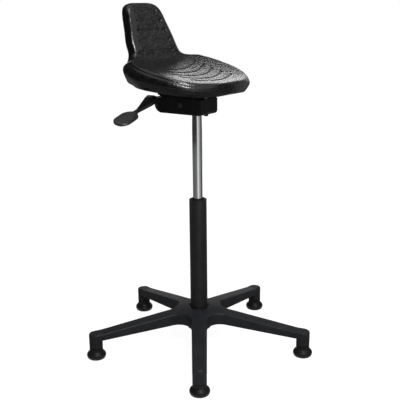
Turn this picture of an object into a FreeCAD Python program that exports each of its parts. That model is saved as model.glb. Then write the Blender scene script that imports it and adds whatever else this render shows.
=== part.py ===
"""Perch stool on a five-arm base, as a parametric FreeCAD document in millimetres.

+Z is up, the origin is on the floor under the column, the seat faces -Y and the
release lever is on the -X side. The stool stands at full height with its seat at
the rear stop of the tilt. Every size is a named cell of the sheet "Sizes".
"""
import FreeCAD
import Part
import math
import os
import Sketcher
from FreeCAD import Placement, Rotation, Vector

SIZES = {
    # Five-arm base
    "arm_count": 5,
    "foot_circle_radius": 310.0,
    "hub_top_height": 115.6,
    "hub_bottom_height": 52.0,
    "hub_top_radius": 37.0,
    "hub_bottom_radius": 34.0,
    "arm_root_half_width": 22.0,
    "arm_end_half_width": 19.2,
    "root_fillet_radius": 42.0,
    "shoulder_radius": 111.0,
    "shoulder_height": 104.8,
    "arm_end_top": 75.4,
    "arm_end_underside": 58.0,
    "arm_root_underside": 78.0,
    "arm_root_reach": 52.0,
    "underside_bend_radius": 150.0,
    "underside_bend_height": 69.6,
    "roof_wall": 5.0,
    "side_wall": 3.5,
    "rib_thickness": 2.6,
    "rib_bays": 5,
    "first_rib_radius": 78.0,
    "last_rib_radius": 286.0,
    "arm_edge_radius": 5.0,
    "socket_radius": 19.0,
    "socket_height": 38.0,
    # Glides
    "pad_radius": 21.0,
    "pad_height": 5.0,
    "rim_radius": 25.0,
    "rim_low": 9.5,
    "rim_high": 12.0,
    "rim_turn_radius": 9.0,
    "dome_radius": 24.0,
    "neck_radius": 16.5,
    "neck_low": 27.5,
    "stem_radius": 5.5,
    "stem_low": 20.0,
    "stem_length": 50.0,
    "grip_ring_height": 60.0,
    "grip_ring_wide": 3.0,
    "grip_ring_radius": 5.9,
    "grip_groove_radius": 4.7,
    # Column: outer tube and bush
    "outer_tube_radius": 25.0,
    "outer_tube_wall": 2.0,
    "outer_tube_top": 441.0,
    "outer_tube_foot": 54.0,
    "tube_taper": 0.8,
    "tube_floor": 4.0,
    "hub_ring_wide": 5.0,
    "hub_ring_thick": 4.0,
    "hub_ring_depth": 2.0,
    "bush_length": 80.0,
    "collar_radius": 16.6,
    "collar_height": 4.5,
    # Column: thrust bearing and rod
    "rod_radius": 5.0,
    "rod_neck_radius": 4.0,
    "rod_foot_drop": 6.0,
    "rod_top": 352.0,
    "thrust_washer_thick": 1.5,
    "thrust_washer_radius": 11.0,
    "ball_radius": 1.75,
    "ball_count": 8,
    "ball_circle_radius": 7.7,
    "cage_thick": 1.6,
    "foot_washer_thick": 1.2,
    "clip_thick": 1.5,
    "clip_radius": 7.5,
    "bump_stop_length": 22.0,
    "bump_stop_radius": 12.0,
    # Column: pressure tube
    "pressure_tube_radius": 14.0,
    "pressure_tube_wall": 1.5,
    "pressure_tube_low": 310.0,
    "pressure_tube_rise": 31.5,
    "head_taper_length": 76.0,
    "head_taper": 1.0,
    "rod_guide_length": 18.0,
    "rod_seal_length": 5.0,
    "piston_length": 9.0,
    "valve_body_length": 20.0,
    "release_pin_radius": 4.0,
    "release_pin_length": 13.8,
    "release_pin_reach": 3.8,
    # Tilt mechanism
    "pan_half_width": 39.5,
    "pan_front": 43.0,
    "pan_rear": 119.0,
    "pan_floor_height": 684.5,
    "pan_depth": 43.5,
    "pan_wall": 2.5,
    "pan_front_corner": 10.0,
    "pan_rear_corner": 24.0,
    "pan_fold_radius": 3.0,
    "taper_socket_radius": 19.0,
    "taper_socket_height": 24.0,
    "pivot_back": 26.0,
    "pivot_rise": 25.5,
    "pivot_radius": 5.0,
    "pin_head_radius": 7.5,
    "pin_head_thick": 2.0,
    "pin_tail": 3.6,
    "pin_ring_thick": 1.2,
    "pin_ring_wide": 2.6,
    "tie_pin_back": 109.0,
    "tie_pin_rise": 19.5,
    "tie_pin_radius": 4.0,
    "tie_head_radius": 5.5,
    "tie_head_thick": 1.2,
    "bolt_front": 31.0,
    "bolt_radius": 3.0,
    "bolt_head_radius": 6.5,
    "bolt_head_thick": 4.5,
    "bolt_rise": 50.5,
    "bolt_slot_half": 1.5,
    "bolt_slot_gap": 0.8,
    "nut_across": 10.0,
    "nut_thick": 5.0,
    "washer_thick": 1.6,
    "washer_radius": 6.4,
    "spring_radius": 5.6,
    "spring_wire_radius": 1.1,
    "spring_turns": 4,
    # Release lever
    "blade_thick": 3.0,
    "blade_front": 98.0,
    "blade_width": 16.0,
    "blade_top_run": 8.0,
    "blade_reach": 73.0,
    "bead_radius": 2.6,
    "lever_slope": 18.0,
    "lever_straight": 5.0,
    "lever_play": 0.2,
    "lever_bush_thick": 6.5,
    "lever_bush_margin": 2.4,
    "lever_bush_drop": 2.6,
    "lever_slot_gap": 0.5,
    "grip_start": 3.0,
    "grip_thick": 9.0,
    "hood_rise": 11.0,
    "hood_run": 20.0,
    "grip_edge_radius": 2.5,
    "grip_front": 11.0,
    "grip_rear": 32.0,
    "grip_root_run": 34.0,
    "neck_reach": 76.0,
    "neck_half": 6.5,
    "neck_back": 7.0,
    "paddle_near": 92.0,
    "paddle_far": 167.5,
    "paddle_half": 27.0,
    "paddle_back": 7.0,
    "paddle_roll": 10.0,
    # Seat plate and fastening
    "seat_tilt": 7.5,
    "seat_underside": 50.0,
    "plate_thick": 3.0,
    "plate_half_width": 75.0,
    "plate_front": 84.0,
    "plate_rear": 86.0,
    "plate_corner": 14.0,
    "cheek_thick": 2.5,
    "cheek_gap": 0.3,
    "cheek_drop": 10.5,
    "cheek_rear_run": 84.0,
    "cheek_rear_rise": 14.0,
    "cheek_horn": 11.0,
    "bridge_thick": 3.0,
    "bridge_height": 12.0,
    "bridge_front": 64.5,
    "bridge_depth": 16.0,
    "pivot_bush_radius": 7.5,
    "bush_flange_radius": 9.5,
    "bush_flange_thick": 2.6,
    "screw_half_x": 60.0,
    "screw_half_y": 65.0,
    "screw_radius": 4.0,
    "screw_head_radius": 7.5,
    "screw_head_thick": 4.4,
    "screw_length": 13.0,
    "screw_washer_radius": 9.0,
    "screw_washer_thick": 1.5,
    "socket_key_radius": 2.8,
    "t_nut_radius": 5.4,
    "t_nut_flange_radius": 9.5,
    "t_nut_flange_thick": 1.5,
    "board_thick": 10.0,
    "board_half_width": 115.0,
    "board_front": 86.0,
    "board_rear": 88.0,
    "board_corner": 34.0,
    # Seat and backrest, in the tilted frame of the seat plate
    "seat_half_width": 188.0,
    "seat_front_reach": 141.0,
    "seat_bend_reach": 96.0,
    "front_band": 39.0,
    "waist_pad": 34.0,
    "bend_pad": 49.5,
    "seat_dish": 13.5,
    "bend_radius": 48.0,
    "back_lean": 28.0,
    "back_length": 145.0,
    "back_half_width": 100.0,
    "back_thick": 29.0,
    "back_dish": 5.0,
    # Clearances
    "seat_gap": 0.05,
    "running_gap": 0.08,
    "free_gap": 0.3,
}

UP = Vector(0, 0, 1)
SIDE = Vector(1, 0, 0)
BACK = Vector(0, 1, 0)


class Size:
    """A length that carries both its number and the sheet formula that it comes from."""

    def __init__(self, number, formula):
        self.number = float(number)
        self.formula = formula

    @staticmethod
    def of(other):
        return other if isinstance(other, Size) else Size(other, repr(float(other)))

    def joined(self, other, sign, number):
        return Size(number, f"({self.formula} {sign} {Size.of(other).formula})")

    def __add__(self, other):
        return self.joined(other, "+", self.number + Size.of(other).number)

    def __sub__(self, other):
        return self.joined(other, "-", self.number - Size.of(other).number)

    def __mul__(self, other):
        return self.joined(other, "*", self.number * Size.of(other).number)

    def __truediv__(self, other):
        return self.joined(other, "/", self.number / Size.of(other).number)

    def __neg__(self):
        return Size(0, "0") - self

    def __radd__(self, other):
        return Size.of(other) + self

    def __rsub__(self, other):
        return Size.of(other) - self

    def __rmul__(self, other):
        return Size.of(other) * self

    def __rtruediv__(self, other):
        return Size.of(other) / self

    def __float__(self):
        return self.number


def sin_of(angle):
    angle = Size.of(angle)
    return Size(math.sin(math.radians(angle.number)), f"sin({angle.formula})")


def cos_of(angle):
    angle = Size.of(angle)
    return Size(math.cos(math.radians(angle.number)), f"cos({angle.formula})")


def tan_of(angle):
    return sin_of(angle) / cos_of(angle)


class Sheet:
    """The size sheet: S.name is a Size bound to that cell."""

    def __init__(self, doc):
        self.cells = doc.addObject("Spreadsheet::Sheet", "Sizes")
        for row, (name, number) in enumerate(SIZES.items(), start=1):
            self.cells.set(f"A{row}", name)
            self.cells.set(f"B{row}", str(number))
            self.cells.setAlias(f"B{row}", name)
        doc.recompute()

    def __getattr__(self, name):
        return Size(SIZES[name], f"Sizes.{name}")

    @property
    def pan_top_height(self):
        return self.pan_floor_height + self.pan_depth

    @property
    def pivot_height(self):
        return self.pan_floor_height + self.pivot_rise

    @property
    def pressure_tube_top(self):
        return self.pan_floor_height + self.pressure_tube_rise

    @property
    def head_taper_start(self):
        return self.pressure_tube_top - self.head_taper_length

    @property
    def lever_axis_height(self):
        """The lever lies level over the release pin, with a little play."""
        return self.pressure_tube_top + self.release_pin_reach + self.lever_play + self.blade_thick / 2


doc = FreeCAD.newDocument("PerchStool")
S = Sheet(doc)
pieces = []


# ---------------------------------------------------------------- modelling helpers

def bind(thing, path, value):
    """Bind one property of a document object to a sheet formula."""
    thing.setExpression(path, Size.of(value).formula)


def keep(thing, name):
    """Name a finished sub-part and list it for export."""
    thing.Label = name
    pieces.append(thing)
    return thing


def place(thing, x=0, y=0, z=0, axis=UP, angle=0):
    """Put a sub-part at a bound position, turned by a bound angle about an axis."""
    x, y, z, angle = (Size.of(value) for value in (x, y, z, angle))
    thing.Placement = Placement(Vector(x.number, y.number, z.number), Rotation(axis, angle.number or 1))
    for path, value in (("Base.x", x), ("Base.y", y), ("Base.z", z), ("Rotation.Angle", angle)):
        bind(thing, f"Placement.{path}", value)
    return thing


def new_body(name):
    return doc.addObject("PartDesign::Body", name)


def origin_part(body, role):
    return next(part for part in body.Origin.OriginFeatures if part.Role == role)


def arc_through(start, end, radius, turn):
    """The shorter arc from start to end; turn is +1 when it curves left and -1 when right."""
    chord = end - start
    reach = math.sqrt(max(radius ** 2 - (chord.Length / 2) ** 2, 0))
    left = Vector(-chord.y, chord.x, 0).normalize()
    centre = start + chord * 0.5 + left * (turn * reach)
    first, last = (start, end) if turn > 0 else (end, start)
    angles = [math.atan2(p.y - centre.y, p.x - centre.x) for p in (first, last)]
    if angles[1] <= angles[0]:
        angles[1] += 2 * math.pi
    return Part.ArcOfCircle(Part.Circle(centre, UP, radius), *angles)


def sketch(body, name, role, *loops, lift=0, lean=None):
    """A fully bound sketch of closed outlines on one origin plane of a body.

    A corner is (u, v), or (u, v, radius, turn) when the edge that leaves it is an arc,
    or (u, v, "round") when that edge is a half circle bulging to the right of travel.
    lift moves the sketch along the plane's normal, and lean turns it about the plane's
    second axis, in degrees.
    """
    outline = body.newObject("Sketcher::SketchObject", name)
    outline.AttachmentSupport = [(origin_part(body, role), "")]
    outline.MapMode = "FlatFace"
    if lean is not None:
        outline.AttachmentOffset = Placement(Vector(), Rotation(BACK, 1))
        bind(outline, "AttachmentOffset.Rotation.Angle", lean)
    bind(outline, "AttachmentOffset.Base.z", lift)
    for loop in loops:
        add_loop(outline, [tuple(corner) for corner in loop])
    return outline


def add_loop(outline, corners):
    points = [Vector(float(corner[0]), float(corner[1]), 0) for corner in corners]
    first = outline.GeometryCount
    ends = []
    for i, corner in enumerate(corners):
        start, end = points[i], points[(i + 1) % len(points)]
        if len(corner) == 2:
            outline.addGeometry(Part.LineSegment(start, end), False)
            ends.append((1, 2))
            continue
        half_round = corner[2] == "round"
        radius, turn = ((end - start).Length / 2, 1) if half_round else (float(corner[2]), corner[3])
        outline.addGeometry(arc_through(start, end, radius, turn), False)
        ends.append((1, 2) if turn > 0 else (2, 1))
    for i, corner in enumerate(corners):
        following = (i + 1) % len(corners)
        outline.addConstraint(Sketcher.Constraint(
            "Coincident", first + i, ends[i][1], first + following, ends[following][0]))
        fix_point(outline, first + i, ends[i][0], corner[:2])
        if len(corner) == 3:
            level = near(points[i].y, points[following].y)
            fix_along(outline, "DistanceY" if level else "DistanceX", first + i, 3, corner[level])
        elif len(corner) == 4:
            number = outline.addConstraint(Sketcher.Constraint("Radius", first + i, float(corner[2])))
            bind(outline, f"Constraints[{number}]", corner[2])


def fix_point(outline, geometry, point, corner):
    fix_along(outline, "DistanceX", geometry, point, corner[0])
    fix_along(outline, "DistanceY", geometry, point, corner[1])


def fix_along(outline, direction, geometry, point, value):
    number = outline.addConstraint(
        Sketcher.Constraint(direction, -1, 1, geometry, point, float(value)))
    bind(outline, f"Constraints[{number}]", value)


def circle_sketch(body, name, role, circles, lift=0):
    """A bound sketch of circles, each given as (u, v, radius)."""
    outline = sketch(body, name, role, lift=lift)
    for u, v, radius in circles:
        centre = Vector(float(u), float(v), 0)
        index = outline.addGeometry(Part.Circle(centre, UP, float(radius)), False)
        fix_point(outline, index, 3, (u, v))
        number = outline.addConstraint(Sketcher.Constraint("Radius", index, float(radius)))
        bind(outline, f"Constraints[{number}]", radius)
    return outline


def pad(body, outline, length, both_ways=False, flip=False):
    feature = body.newObject("PartDesign::Pad", outline.Name + "Pad")
    feature.Profile = outline
    feature.Midplane = both_ways
    feature.Reversed = flip
    bind(feature, "Length", length)
    return feature


def pocket(body, outline, length=None, both_ways=False, flip=False):
    """Cut an outline away, through everything when no length is given."""
    feature = body.newObject("PartDesign::Pocket", outline.Name + "Cut")
    feature.Profile = outline
    feature.Midplane = both_ways
    feature.Reversed = flip
    if length is None:
        feature.Type = "ThroughAll"
    else:
        bind(feature, "Length", length)
    return feature


def turn(body, outline, cut=False):
    """Revolve an outline about its own vertical axis, to add or to cut."""
    kind = "Groove" if cut else "Revolution"
    feature = body.newObject(f"PartDesign::{kind}", outline.Name + kind)
    feature.Profile = outline
    feature.ReferenceAxis = (outline, ["V_Axis"])
    feature.Angle = 360
    return feature


def around(body, features, count):
    """Repeat features evenly about the body's Z axis."""
    pattern = body.newObject("PartDesign::PolarPattern", features[0].Name + "Around")
    pattern.Originals = features
    pattern.Axis = (origin_part(body, "Z_Axis"), [""])
    pattern.Angle = 360
    bind(pattern, "Occurrences", count)
    body.Tip = pattern
    return pattern


def turned_body(name, *loops):
    """A body revolved about Z from outlines of (radius, height) corners."""
    body = new_body(name)
    turn(body, sketch(body, name + "Profile", "XZ_Plane", *loops))
    return body


def turned(name, *loops):
    return keep(turned_body(name, *loops), name)


def ring(inner, outer, low, high):
    """Outline of a plain ring: inner and outer radius, low and high level."""
    return [(inner, low), (outer, low), (outer, high), (inner, high)]


def box(x_low, x_high, y_low, y_high):
    return [(x_low, y_low), (x_high, y_low), (x_high, y_high), (x_low, y_high)]


def rounded_box(x_low, x_high, y_low, y_high, radius):
    """A rectangle whose corners are arcs of one radius, anticlockwise."""
    return [
        (x_low + radius, y_low), (x_high - radius, y_low, radius, 1),
        (x_high, y_low + radius), (x_high, y_high - radius, radius, 1),
        (x_high - radius, y_high), (x_low + radius, y_high, radius, 1),
        (x_low, y_high - radius), (x_low, y_low + radius, radius, 1),
    ]


def hexagon(across):
    """A hexagon by its width across flats."""
    corner = across / (2 * cos_of(30))
    return [(corner * cos_of(60 * k), corner * sin_of(60 * k)) for k in range(6)]


def fillet(body, base, test, radius):
    """Round the edges of a feature whose middle passes a test."""
    doc.recompute()
    feature = body.newObject("PartDesign::Fillet", base.Name + "Fillet")
    feature.Base = (base, edges_where(base.Shape, test))
    bind(feature, "Radius", radius)
    return feature


def edges_where(shape, test):
    """Names of the edges whose middle passes a test."""
    return [f"Edge{i}" for i, edge in enumerate(shape.Edges, start=1) if test(edge.CenterOfMass)]


def group(name, members):
    """Several identical solids as one sub-part."""
    bundle = doc.addObject("Part::Compound", name)
    bundle.Links = members
    return keep(bundle, name)


def near(value, size):
    return abs(value - float(size)) < 1e-4


# ---------------------------------------------------------------- base

def arm_half_width(radius):
    """Half-width of an arm at a distance from the column."""
    share = (radius - S.first_rib_radius) / (S.foot_circle_radius - S.first_rib_radius)
    return S.arm_root_half_width + (S.arm_end_half_width - S.arm_root_half_width) * share


def arm_sector():
    """Plan outline of one arm and its share of the hub, out to the rounded end."""
    half = Size.of(180) / S.arm_count
    reach = (S.root_fillet_radius + S.arm_root_half_width) / sin_of(half)
    inner = reach - S.root_fillet_radius
    tangent = reach * cos_of(half)
    corner_x, corner_y = inner * cos_of(half), inner * sin_of(half)
    root, end = S.arm_root_half_width, S.arm_end_half_width
    return [
        (Size.of(0), Size.of(0)),
        (corner_x, -corner_y, S.root_fillet_radius, -1),
        (tangent, -root),
        (S.foot_circle_radius, -end, "round"),
        (S.foot_circle_radius, end),
        (tangent, root, S.root_fillet_radius, -1),
        (corner_x, corner_y),
    ]


def top_line():
    """Side view of the arm's top as (radius, height) corners, from the hub outwards."""
    end = S.foot_circle_radius + S.arm_end_half_width
    return [(S.hub_top_radius, S.hub_top_height - 0.4), (S.shoulder_radius, S.shoulder_height),
            (S.foot_circle_radius - S.arm_end_half_width, S.arm_end_top + 2), (end + 5, S.arm_end_top)]


def is_arm_edge(middle):
    """Whether an edge's middle lies on the upper edge of an arm, which the mould rounds."""
    radius = math.hypot(middle.x, middle.y)
    near_root = radius < float(S.underside_bend_radius)
    under = float(S.arm_root_underside if near_root else S.underside_bend_height)
    sector = 2 * math.pi / float(S.arm_count)
    off = abs((math.atan2(middle.y, middle.x) + sector / 2) % sector - sector / 2)
    return middle.z > under + 2 and radius * math.sin(off) > float(S.arm_end_half_width) / 4


def rib_cells():
    """The hollows under one arm: two rows of bays between the cross ribs and the middle rib."""
    bay = (S.last_rib_radius - S.first_rib_radius) / S.rib_bays
    half_rib = S.rib_thickness / 2
    stretch = 1 / cos_of(roof_slope())
    cells = []
    for k in range(int(SIZES["rib_bays"])):
        low = S.first_rib_radius + bay * k + half_rib
        high = S.first_rib_radius + bay * (k + 1) - half_rib
        low_y = arm_half_width(low) - S.side_wall
        high_y = arm_half_width(high) - S.side_wall
        low, high = low * stretch, high * stretch
        cells.append([(low, half_rib), (high, half_rib), (high, high_y), (low, low_y)])
        cells.append([(low, -low_y), (high, -high_y), (high, -half_rib), (low, -half_rib)])
    return cells


def roof_slope():
    """Slope of the arm's top, in degrees; the hollows' roof runs parallel to it."""
    fall = S.shoulder_height - S.arm_end_top - 2
    run = S.foot_circle_radius - S.arm_end_half_width - S.shoulder_radius
    slope = math.degrees(math.atan2(fall.number, run.number))
    return Size(slope, f"atan2({fall.formula}; {run.formula}) / 1deg")


def tube_radius_at(height):
    """Radius of the outer tube's tapered foot, which the hub's bore follows."""
    share = (S.hub_top_height - height) / (S.hub_top_height - S.hub_bottom_height)
    return S.outer_tube_radius - S.tube_taper * share


def make_base_star():
    body = new_body("base_star")
    count, top, bottom = S.arm_count, S.hub_top_height, S.hub_bottom_height
    end = S.foot_circle_radius + S.arm_end_half_width + 5
    sector = pad(body, sketch(body, "ArmSector", "XY_Plane", arm_sector(), lift=bottom), top - bottom)
    around(body, [sector], count)
    line = top_line()
    above = line + [(end, top + 5), (S.hub_top_radius, top + 5)]
    turn(body, sketch(body, "AboveArms", "XZ_Plane", above), cut=True)
    below = [(Size.of(0), bottom - 5), (end, bottom - 5), (end, S.arm_end_underside),
             (S.foot_circle_radius - S.arm_end_half_width, S.arm_end_underside),
             (S.underside_bend_radius, S.underside_bend_height),
             (S.arm_root_reach, S.arm_root_underside), (Size.of(0), S.arm_root_underside)]
    arms = turn(body, sketch(body, "BelowArms", "XZ_Plane", below), cut=True)
    fillet(body, arms, is_arm_edge, S.arm_edge_radius)
    hub = [(Size.of(0), bottom), (S.hub_bottom_radius, bottom), (S.hub_top_radius, top),
           (Size.of(0), top)]
    turn(body, sketch(body, "Hub", "XZ_Plane", hub))

    foot = [(S.foot_circle_radius, Size.of(0), S.socket_radius)]
    socket = pad(body, circle_sketch(body, "FootSocket", "XY_Plane", foot, lift=S.socket_height),
                 S.arm_end_underside - S.socket_height + 1)
    slope = roof_slope()
    roof = S.shoulder_height - S.roof_wall + S.shoulder_radius * tan_of(slope)
    cells = sketch(body, "RibCells", "XY_Plane", *rib_cells(), lean=slope)
    bind(cells, "AttachmentOffset.Base.z", roof)
    hollows = pocket(body, cells)
    stem = [(S.foot_circle_radius, Size.of(0), S.grip_ring_radius + S.seat_gap)]
    stem_hole = pocket(body, circle_sketch(body, "StemHole", "XY_Plane", stem, lift=S.socket_height),
                       S.stem_length + S.stem_low - S.socket_height + 1, flip=True)
    around(body, [socket, hollows, stem_hole], count)

    gap = S.seat_gap
    bore = [(Size.of(0), bottom - 1), (tube_radius_at(bottom - 1) + gap, bottom - 1),
            (tube_radius_at(top + 1) + gap, top + 1), (Size.of(0), top + 1)]
    turn(body, sketch(body, "HubBore", "XZ_Plane", bore), cut=True)
    recess_low = top - S.hub_ring_depth - S.hub_ring_thick
    recess = ring(Size.of(1), S.outer_tube_radius + S.hub_ring_wide + gap, recess_low, top + 1)
    turn(body, sketch(body, "RingRecess", "XZ_Plane", recess), cut=True)
    return keep(body, "base_star")


def make_glides():
    """Five round glides, their steel stems and the rings that grip them in the sockets."""
    stems, rings = [], []
    high = S.stem_low + S.stem_length
    groove_top = S.grip_ring_height + S.grip_ring_wide
    for k in range(int(SIZES["arm_count"])):
        angle = Size.of(360) * k / S.arm_count
        spot = {"x": S.foot_circle_radius * cos_of(angle), "y": S.foot_circle_radius * sin_of(angle)}
        hole = S.stem_radius + S.seat_gap
        cup = [(Size.of(0), Size.of(0)), (S.pad_radius, Size.of(0)),
               (S.pad_radius, S.pad_height, S.rim_turn_radius, 1),
               (S.rim_radius, S.rim_low), (S.rim_radius, S.rim_high, S.dome_radius, 1),
               (S.neck_radius + 1.5, S.neck_low), (S.neck_radius, S.neck_low),
               (S.neck_radius, S.socket_height), (hole, S.socket_height), (hole, S.stem_low),
               (Size.of(0), S.stem_low)]
        place(turned(f"glide_{k + 1}", cup), **spot)
        stem = [(Size.of(0), S.stem_low), (S.stem_radius, S.stem_low),
                (S.stem_radius, S.grip_ring_height), (S.grip_groove_radius, S.grip_ring_height),
                (S.grip_groove_radius, groove_top), (S.stem_radius, groove_top),
                (S.stem_radius, high), (Size.of(0), high)]
        stems.append(place(turned_body(f"Stem{k + 1}", stem), **spot))
        grip = ring(S.grip_groove_radius + S.seat_gap, S.grip_ring_radius,
                    S.grip_ring_height + S.seat_gap, groove_top - S.seat_gap)
        rings.append(place(turned_body(f"GripRing{k + 1}", grip), **spot))
    group("glide_stems", stems)
    group("stem_grip_rings", rings)


def make_outer_tube():
    inner = S.outer_tube_radius - S.outer_tube_wall
    foot = S.outer_tube_foot
    turned("outer_tube", [
        (S.rod_neck_radius + S.free_gap, foot), (tube_radius_at(foot), foot),
        (S.outer_tube_radius, S.hub_top_height), (S.outer_tube_radius, S.outer_tube_top),
        (inner, S.outer_tube_top), (inner, foot + S.tube_floor),
        (S.rod_neck_radius + S.free_gap, foot + S.tube_floor)])
    low = S.hub_top_height - S.hub_ring_depth - S.hub_ring_thick
    turned("hub_ring", ring(S.outer_tube_radius + S.seat_gap,
                            S.outer_tube_radius + S.hub_ring_wide, low, low + S.hub_ring_thick))
    bore = S.pressure_tube_radius + S.running_gap
    top = S.outer_tube_top
    turned("guide_bush", [
        (bore, top - S.bush_length), (inner - S.seat_gap, top - S.bush_length),
        (inner - S.seat_gap, top), (S.collar_radius, top), (S.collar_radius, top + S.collar_height),
        (bore, top + S.collar_height)])


# ---------------------------------------------------------------- gas spring

def bearing_levels():
    """Levels of the thrust bearing: floor of the tube, ball race low and high, rod shoulder."""
    floor = S.outer_tube_foot + S.tube_floor
    race_low = floor + S.thrust_washer_thick
    race_high = race_low + 2 * S.ball_radius
    return floor, race_low, race_high, race_high + S.thrust_washer_thick


def make_thrust_bearing():
    floor, race_low, race_high, shoulder = bearing_levels()
    hole = S.rod_neck_radius + S.free_gap
    turned("thrust_washer_low", ring(hole, S.thrust_washer_radius, floor, race_low))
    hole = S.rod_neck_radius + S.seat_gap
    turned("thrust_washer_high", ring(hole, S.thrust_washer_radius, race_high, shoulder))
    middle = (race_low + race_high) / 2
    cage = new_body("ball_cage")
    half = S.cage_thick / 2
    turn(cage, sketch(cage, "CageProfile", "XZ_Plane",
                      ring(hole, S.thrust_washer_radius, middle - half, middle + half)))
    seat = [(S.ball_circle_radius, Size.of(0), S.ball_radius + S.running_gap)]
    hollow = pocket(cage, circle_sketch(cage, "BallSeat", "XY_Plane", seat, lift=middle + half))
    around(cage, [hollow], S.ball_count)
    keep(cage, "ball_cage")
    balls = []
    for k in range(int(SIZES["ball_count"])):
        angle = Size.of(360) * k / S.ball_count
        ball = doc.addObject("Part::Sphere", f"Ball{k + 1}")
        bind(ball, "Radius", S.ball_radius)
        balls.append(place(ball, S.ball_circle_radius * cos_of(angle),
                           S.ball_circle_radius * sin_of(angle), middle))
    group("thrust_balls", balls)


def make_rod():
    shoulder = bearing_levels()[3]
    foot = S.outer_tube_foot
    neck, rod = S.rod_neck_radius, S.rod_radius
    clip_top = foot - S.foot_washer_thick
    groove = neck - 0.8
    piston_low = S.rod_top - S.piston_length
    turned("piston_rod", [
        (Size.of(0), foot - S.rod_foot_drop), (neck, foot - S.rod_foot_drop),
        (neck, clip_top - S.clip_thick), (groove, clip_top - S.clip_thick), (groove, clip_top),
        (neck, clip_top), (neck, shoulder), (rod, shoulder), (rod, piston_low),
        (neck, piston_low), (neck, S.rod_top), (Size.of(0), S.rod_top)])
    inner = S.pressure_tube_radius - S.pressure_tube_wall
    turned("gas_piston", ring(neck + S.seat_gap, inner - S.running_gap, piston_low, S.rod_top))
    turned("rod_washer", ring(neck + S.seat_gap, S.thrust_washer_radius - 1, clip_top, foot))
    turned("rod_clip", ring(groove + S.seat_gap, S.clip_radius, clip_top - S.clip_thick, clip_top))
    turned("bump_stop", [
        (rod + S.seat_gap, shoulder), (S.bump_stop_radius, shoulder),
        (S.bump_stop_radius - 2, shoulder + S.bump_stop_length),
        (rod + S.seat_gap, shoulder + S.bump_stop_length)])


def head_radius_at(height):
    """Radius of the pressure tube's tapered head, which the taper socket follows."""
    share = (height - S.head_taper_start) / (S.pressure_tube_top - S.head_taper_start)
    return S.pressure_tube_radius - S.head_taper * share


def make_pressure_tube():
    outer, low, top = S.pressure_tube_radius, S.pressure_tube_low, S.pressure_tube_top
    inner = outer - S.pressure_tube_wall
    lip = inner - S.head_taper
    plug_low = top - S.valve_body_length
    turned("pressure_tube", [
        (inner, low), (outer, low), (outer, S.head_taper_start), (head_radius_at(top), top),
        (lip, top), (lip, plug_low), (inner, S.head_taper_start), ])
    hole = S.rod_radius + S.running_gap
    fit = inner - S.seat_gap
    turned("rod_guide", ring(hole, fit, low, low + S.rod_guide_length))
    seal_low = low + S.rod_guide_length
    turned("rod_seal", ring(hole, fit, seal_low, seal_low + S.rod_seal_length))
    pin = S.release_pin_radius + S.running_gap
    pin_low = top + S.release_pin_reach - S.release_pin_length
    floor = pin_low - 6
    fit = lip - S.seat_gap
    turned("valve_body", [(Size.of(0), plug_low), (fit, plug_low), (fit, top), (pin, top),
                          (pin, floor), (Size.of(0), floor)])
    button = S.release_pin_radius
    pin_top = top + S.release_pin_reach
    turned("release_pin", [(Size.of(0), pin_low), (button, pin_low), (button, pin_top - 1),
                           (button - 1, pin_top), (Size.of(0), pin_top)])


# ---------------------------------------------------------------- tilt mechanism

def make_pan():
    """Pressed pan: folded box open at the top, with its holes and the lever's notch."""
    body = new_body("mechanism_pan")
    low, high = S.pan_floor_height, S.pan_top_height
    outer_wall = pad(body, sketch(body, "PanSide", "YZ_Plane", pan_side(Size.of(0))),
                     2 * S.pan_half_width, both_ways=True)
    fillet(body, outer_wall, lambda p: near(abs(p.x), S.pan_half_width) and not near(p.z, high),
           S.pan_fold_radius)
    pocket(body, sketch(body, "PanInside", "YZ_Plane", pan_side(S.pan_wall)),
           2 * (S.pan_half_width - S.pan_wall), both_ways=True)
    pins = [(S.pivot_back, S.pivot_height, S.pivot_radius + S.seat_gap),
            (S.tie_pin_back, low + S.tie_pin_rise, S.tie_pin_radius + S.seat_gap)]
    pocket(body, circle_sketch(body, "PinHoles", "YZ_Plane", pins), 2 * S.pan_half_width + 2,
           both_ways=True)
    holes = [(Size.of(0), Size.of(0), S.pressure_tube_radius + S.free_gap),
             (Size.of(0), -S.bolt_front, S.bolt_radius + S.seat_gap)]
    pocket(body, circle_sketch(body, "FloorHoles", "XY_Plane", holes, lift=low - 1),
           S.pan_wall + 2, flip=True)
    notch = box(bush_front() - S.seat_gap, bush_rear() + S.seat_gap, bush_low(), high + 1)
    pocket(body, sketch(body, "LeverNotch", "YZ_Plane", notch, lift=-S.pan_half_width - 1),
           S.pan_wall + 2, flip=True)
    return keep(body, "mechanism_pan")


def pan_side(inset):
    """Side view of the pan, drawn in by an inset everywhere but at its open top."""
    front, rear = inset - S.pan_front, S.pan_rear - inset
    low, high = S.pan_floor_height + inset, S.pan_top_height + (1 if float(inset) else 0)
    near_corner, far_corner = S.pan_front_corner - inset, S.pan_rear_corner - inset
    return [(front + near_corner, low), (rear - far_corner, low, far_corner, 1),
            (rear, low + far_corner), (rear, high), (front, high),
            (front, low + near_corner, near_corner, 1)]


def bush_front():
    return S.blade_front - S.lever_bush_margin


def bush_rear():
    return S.blade_front + S.blade_width + S.lever_bush_margin


def bush_low():
    return S.lever_axis_height - S.blade_thick / 2 - S.lever_bush_drop


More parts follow.
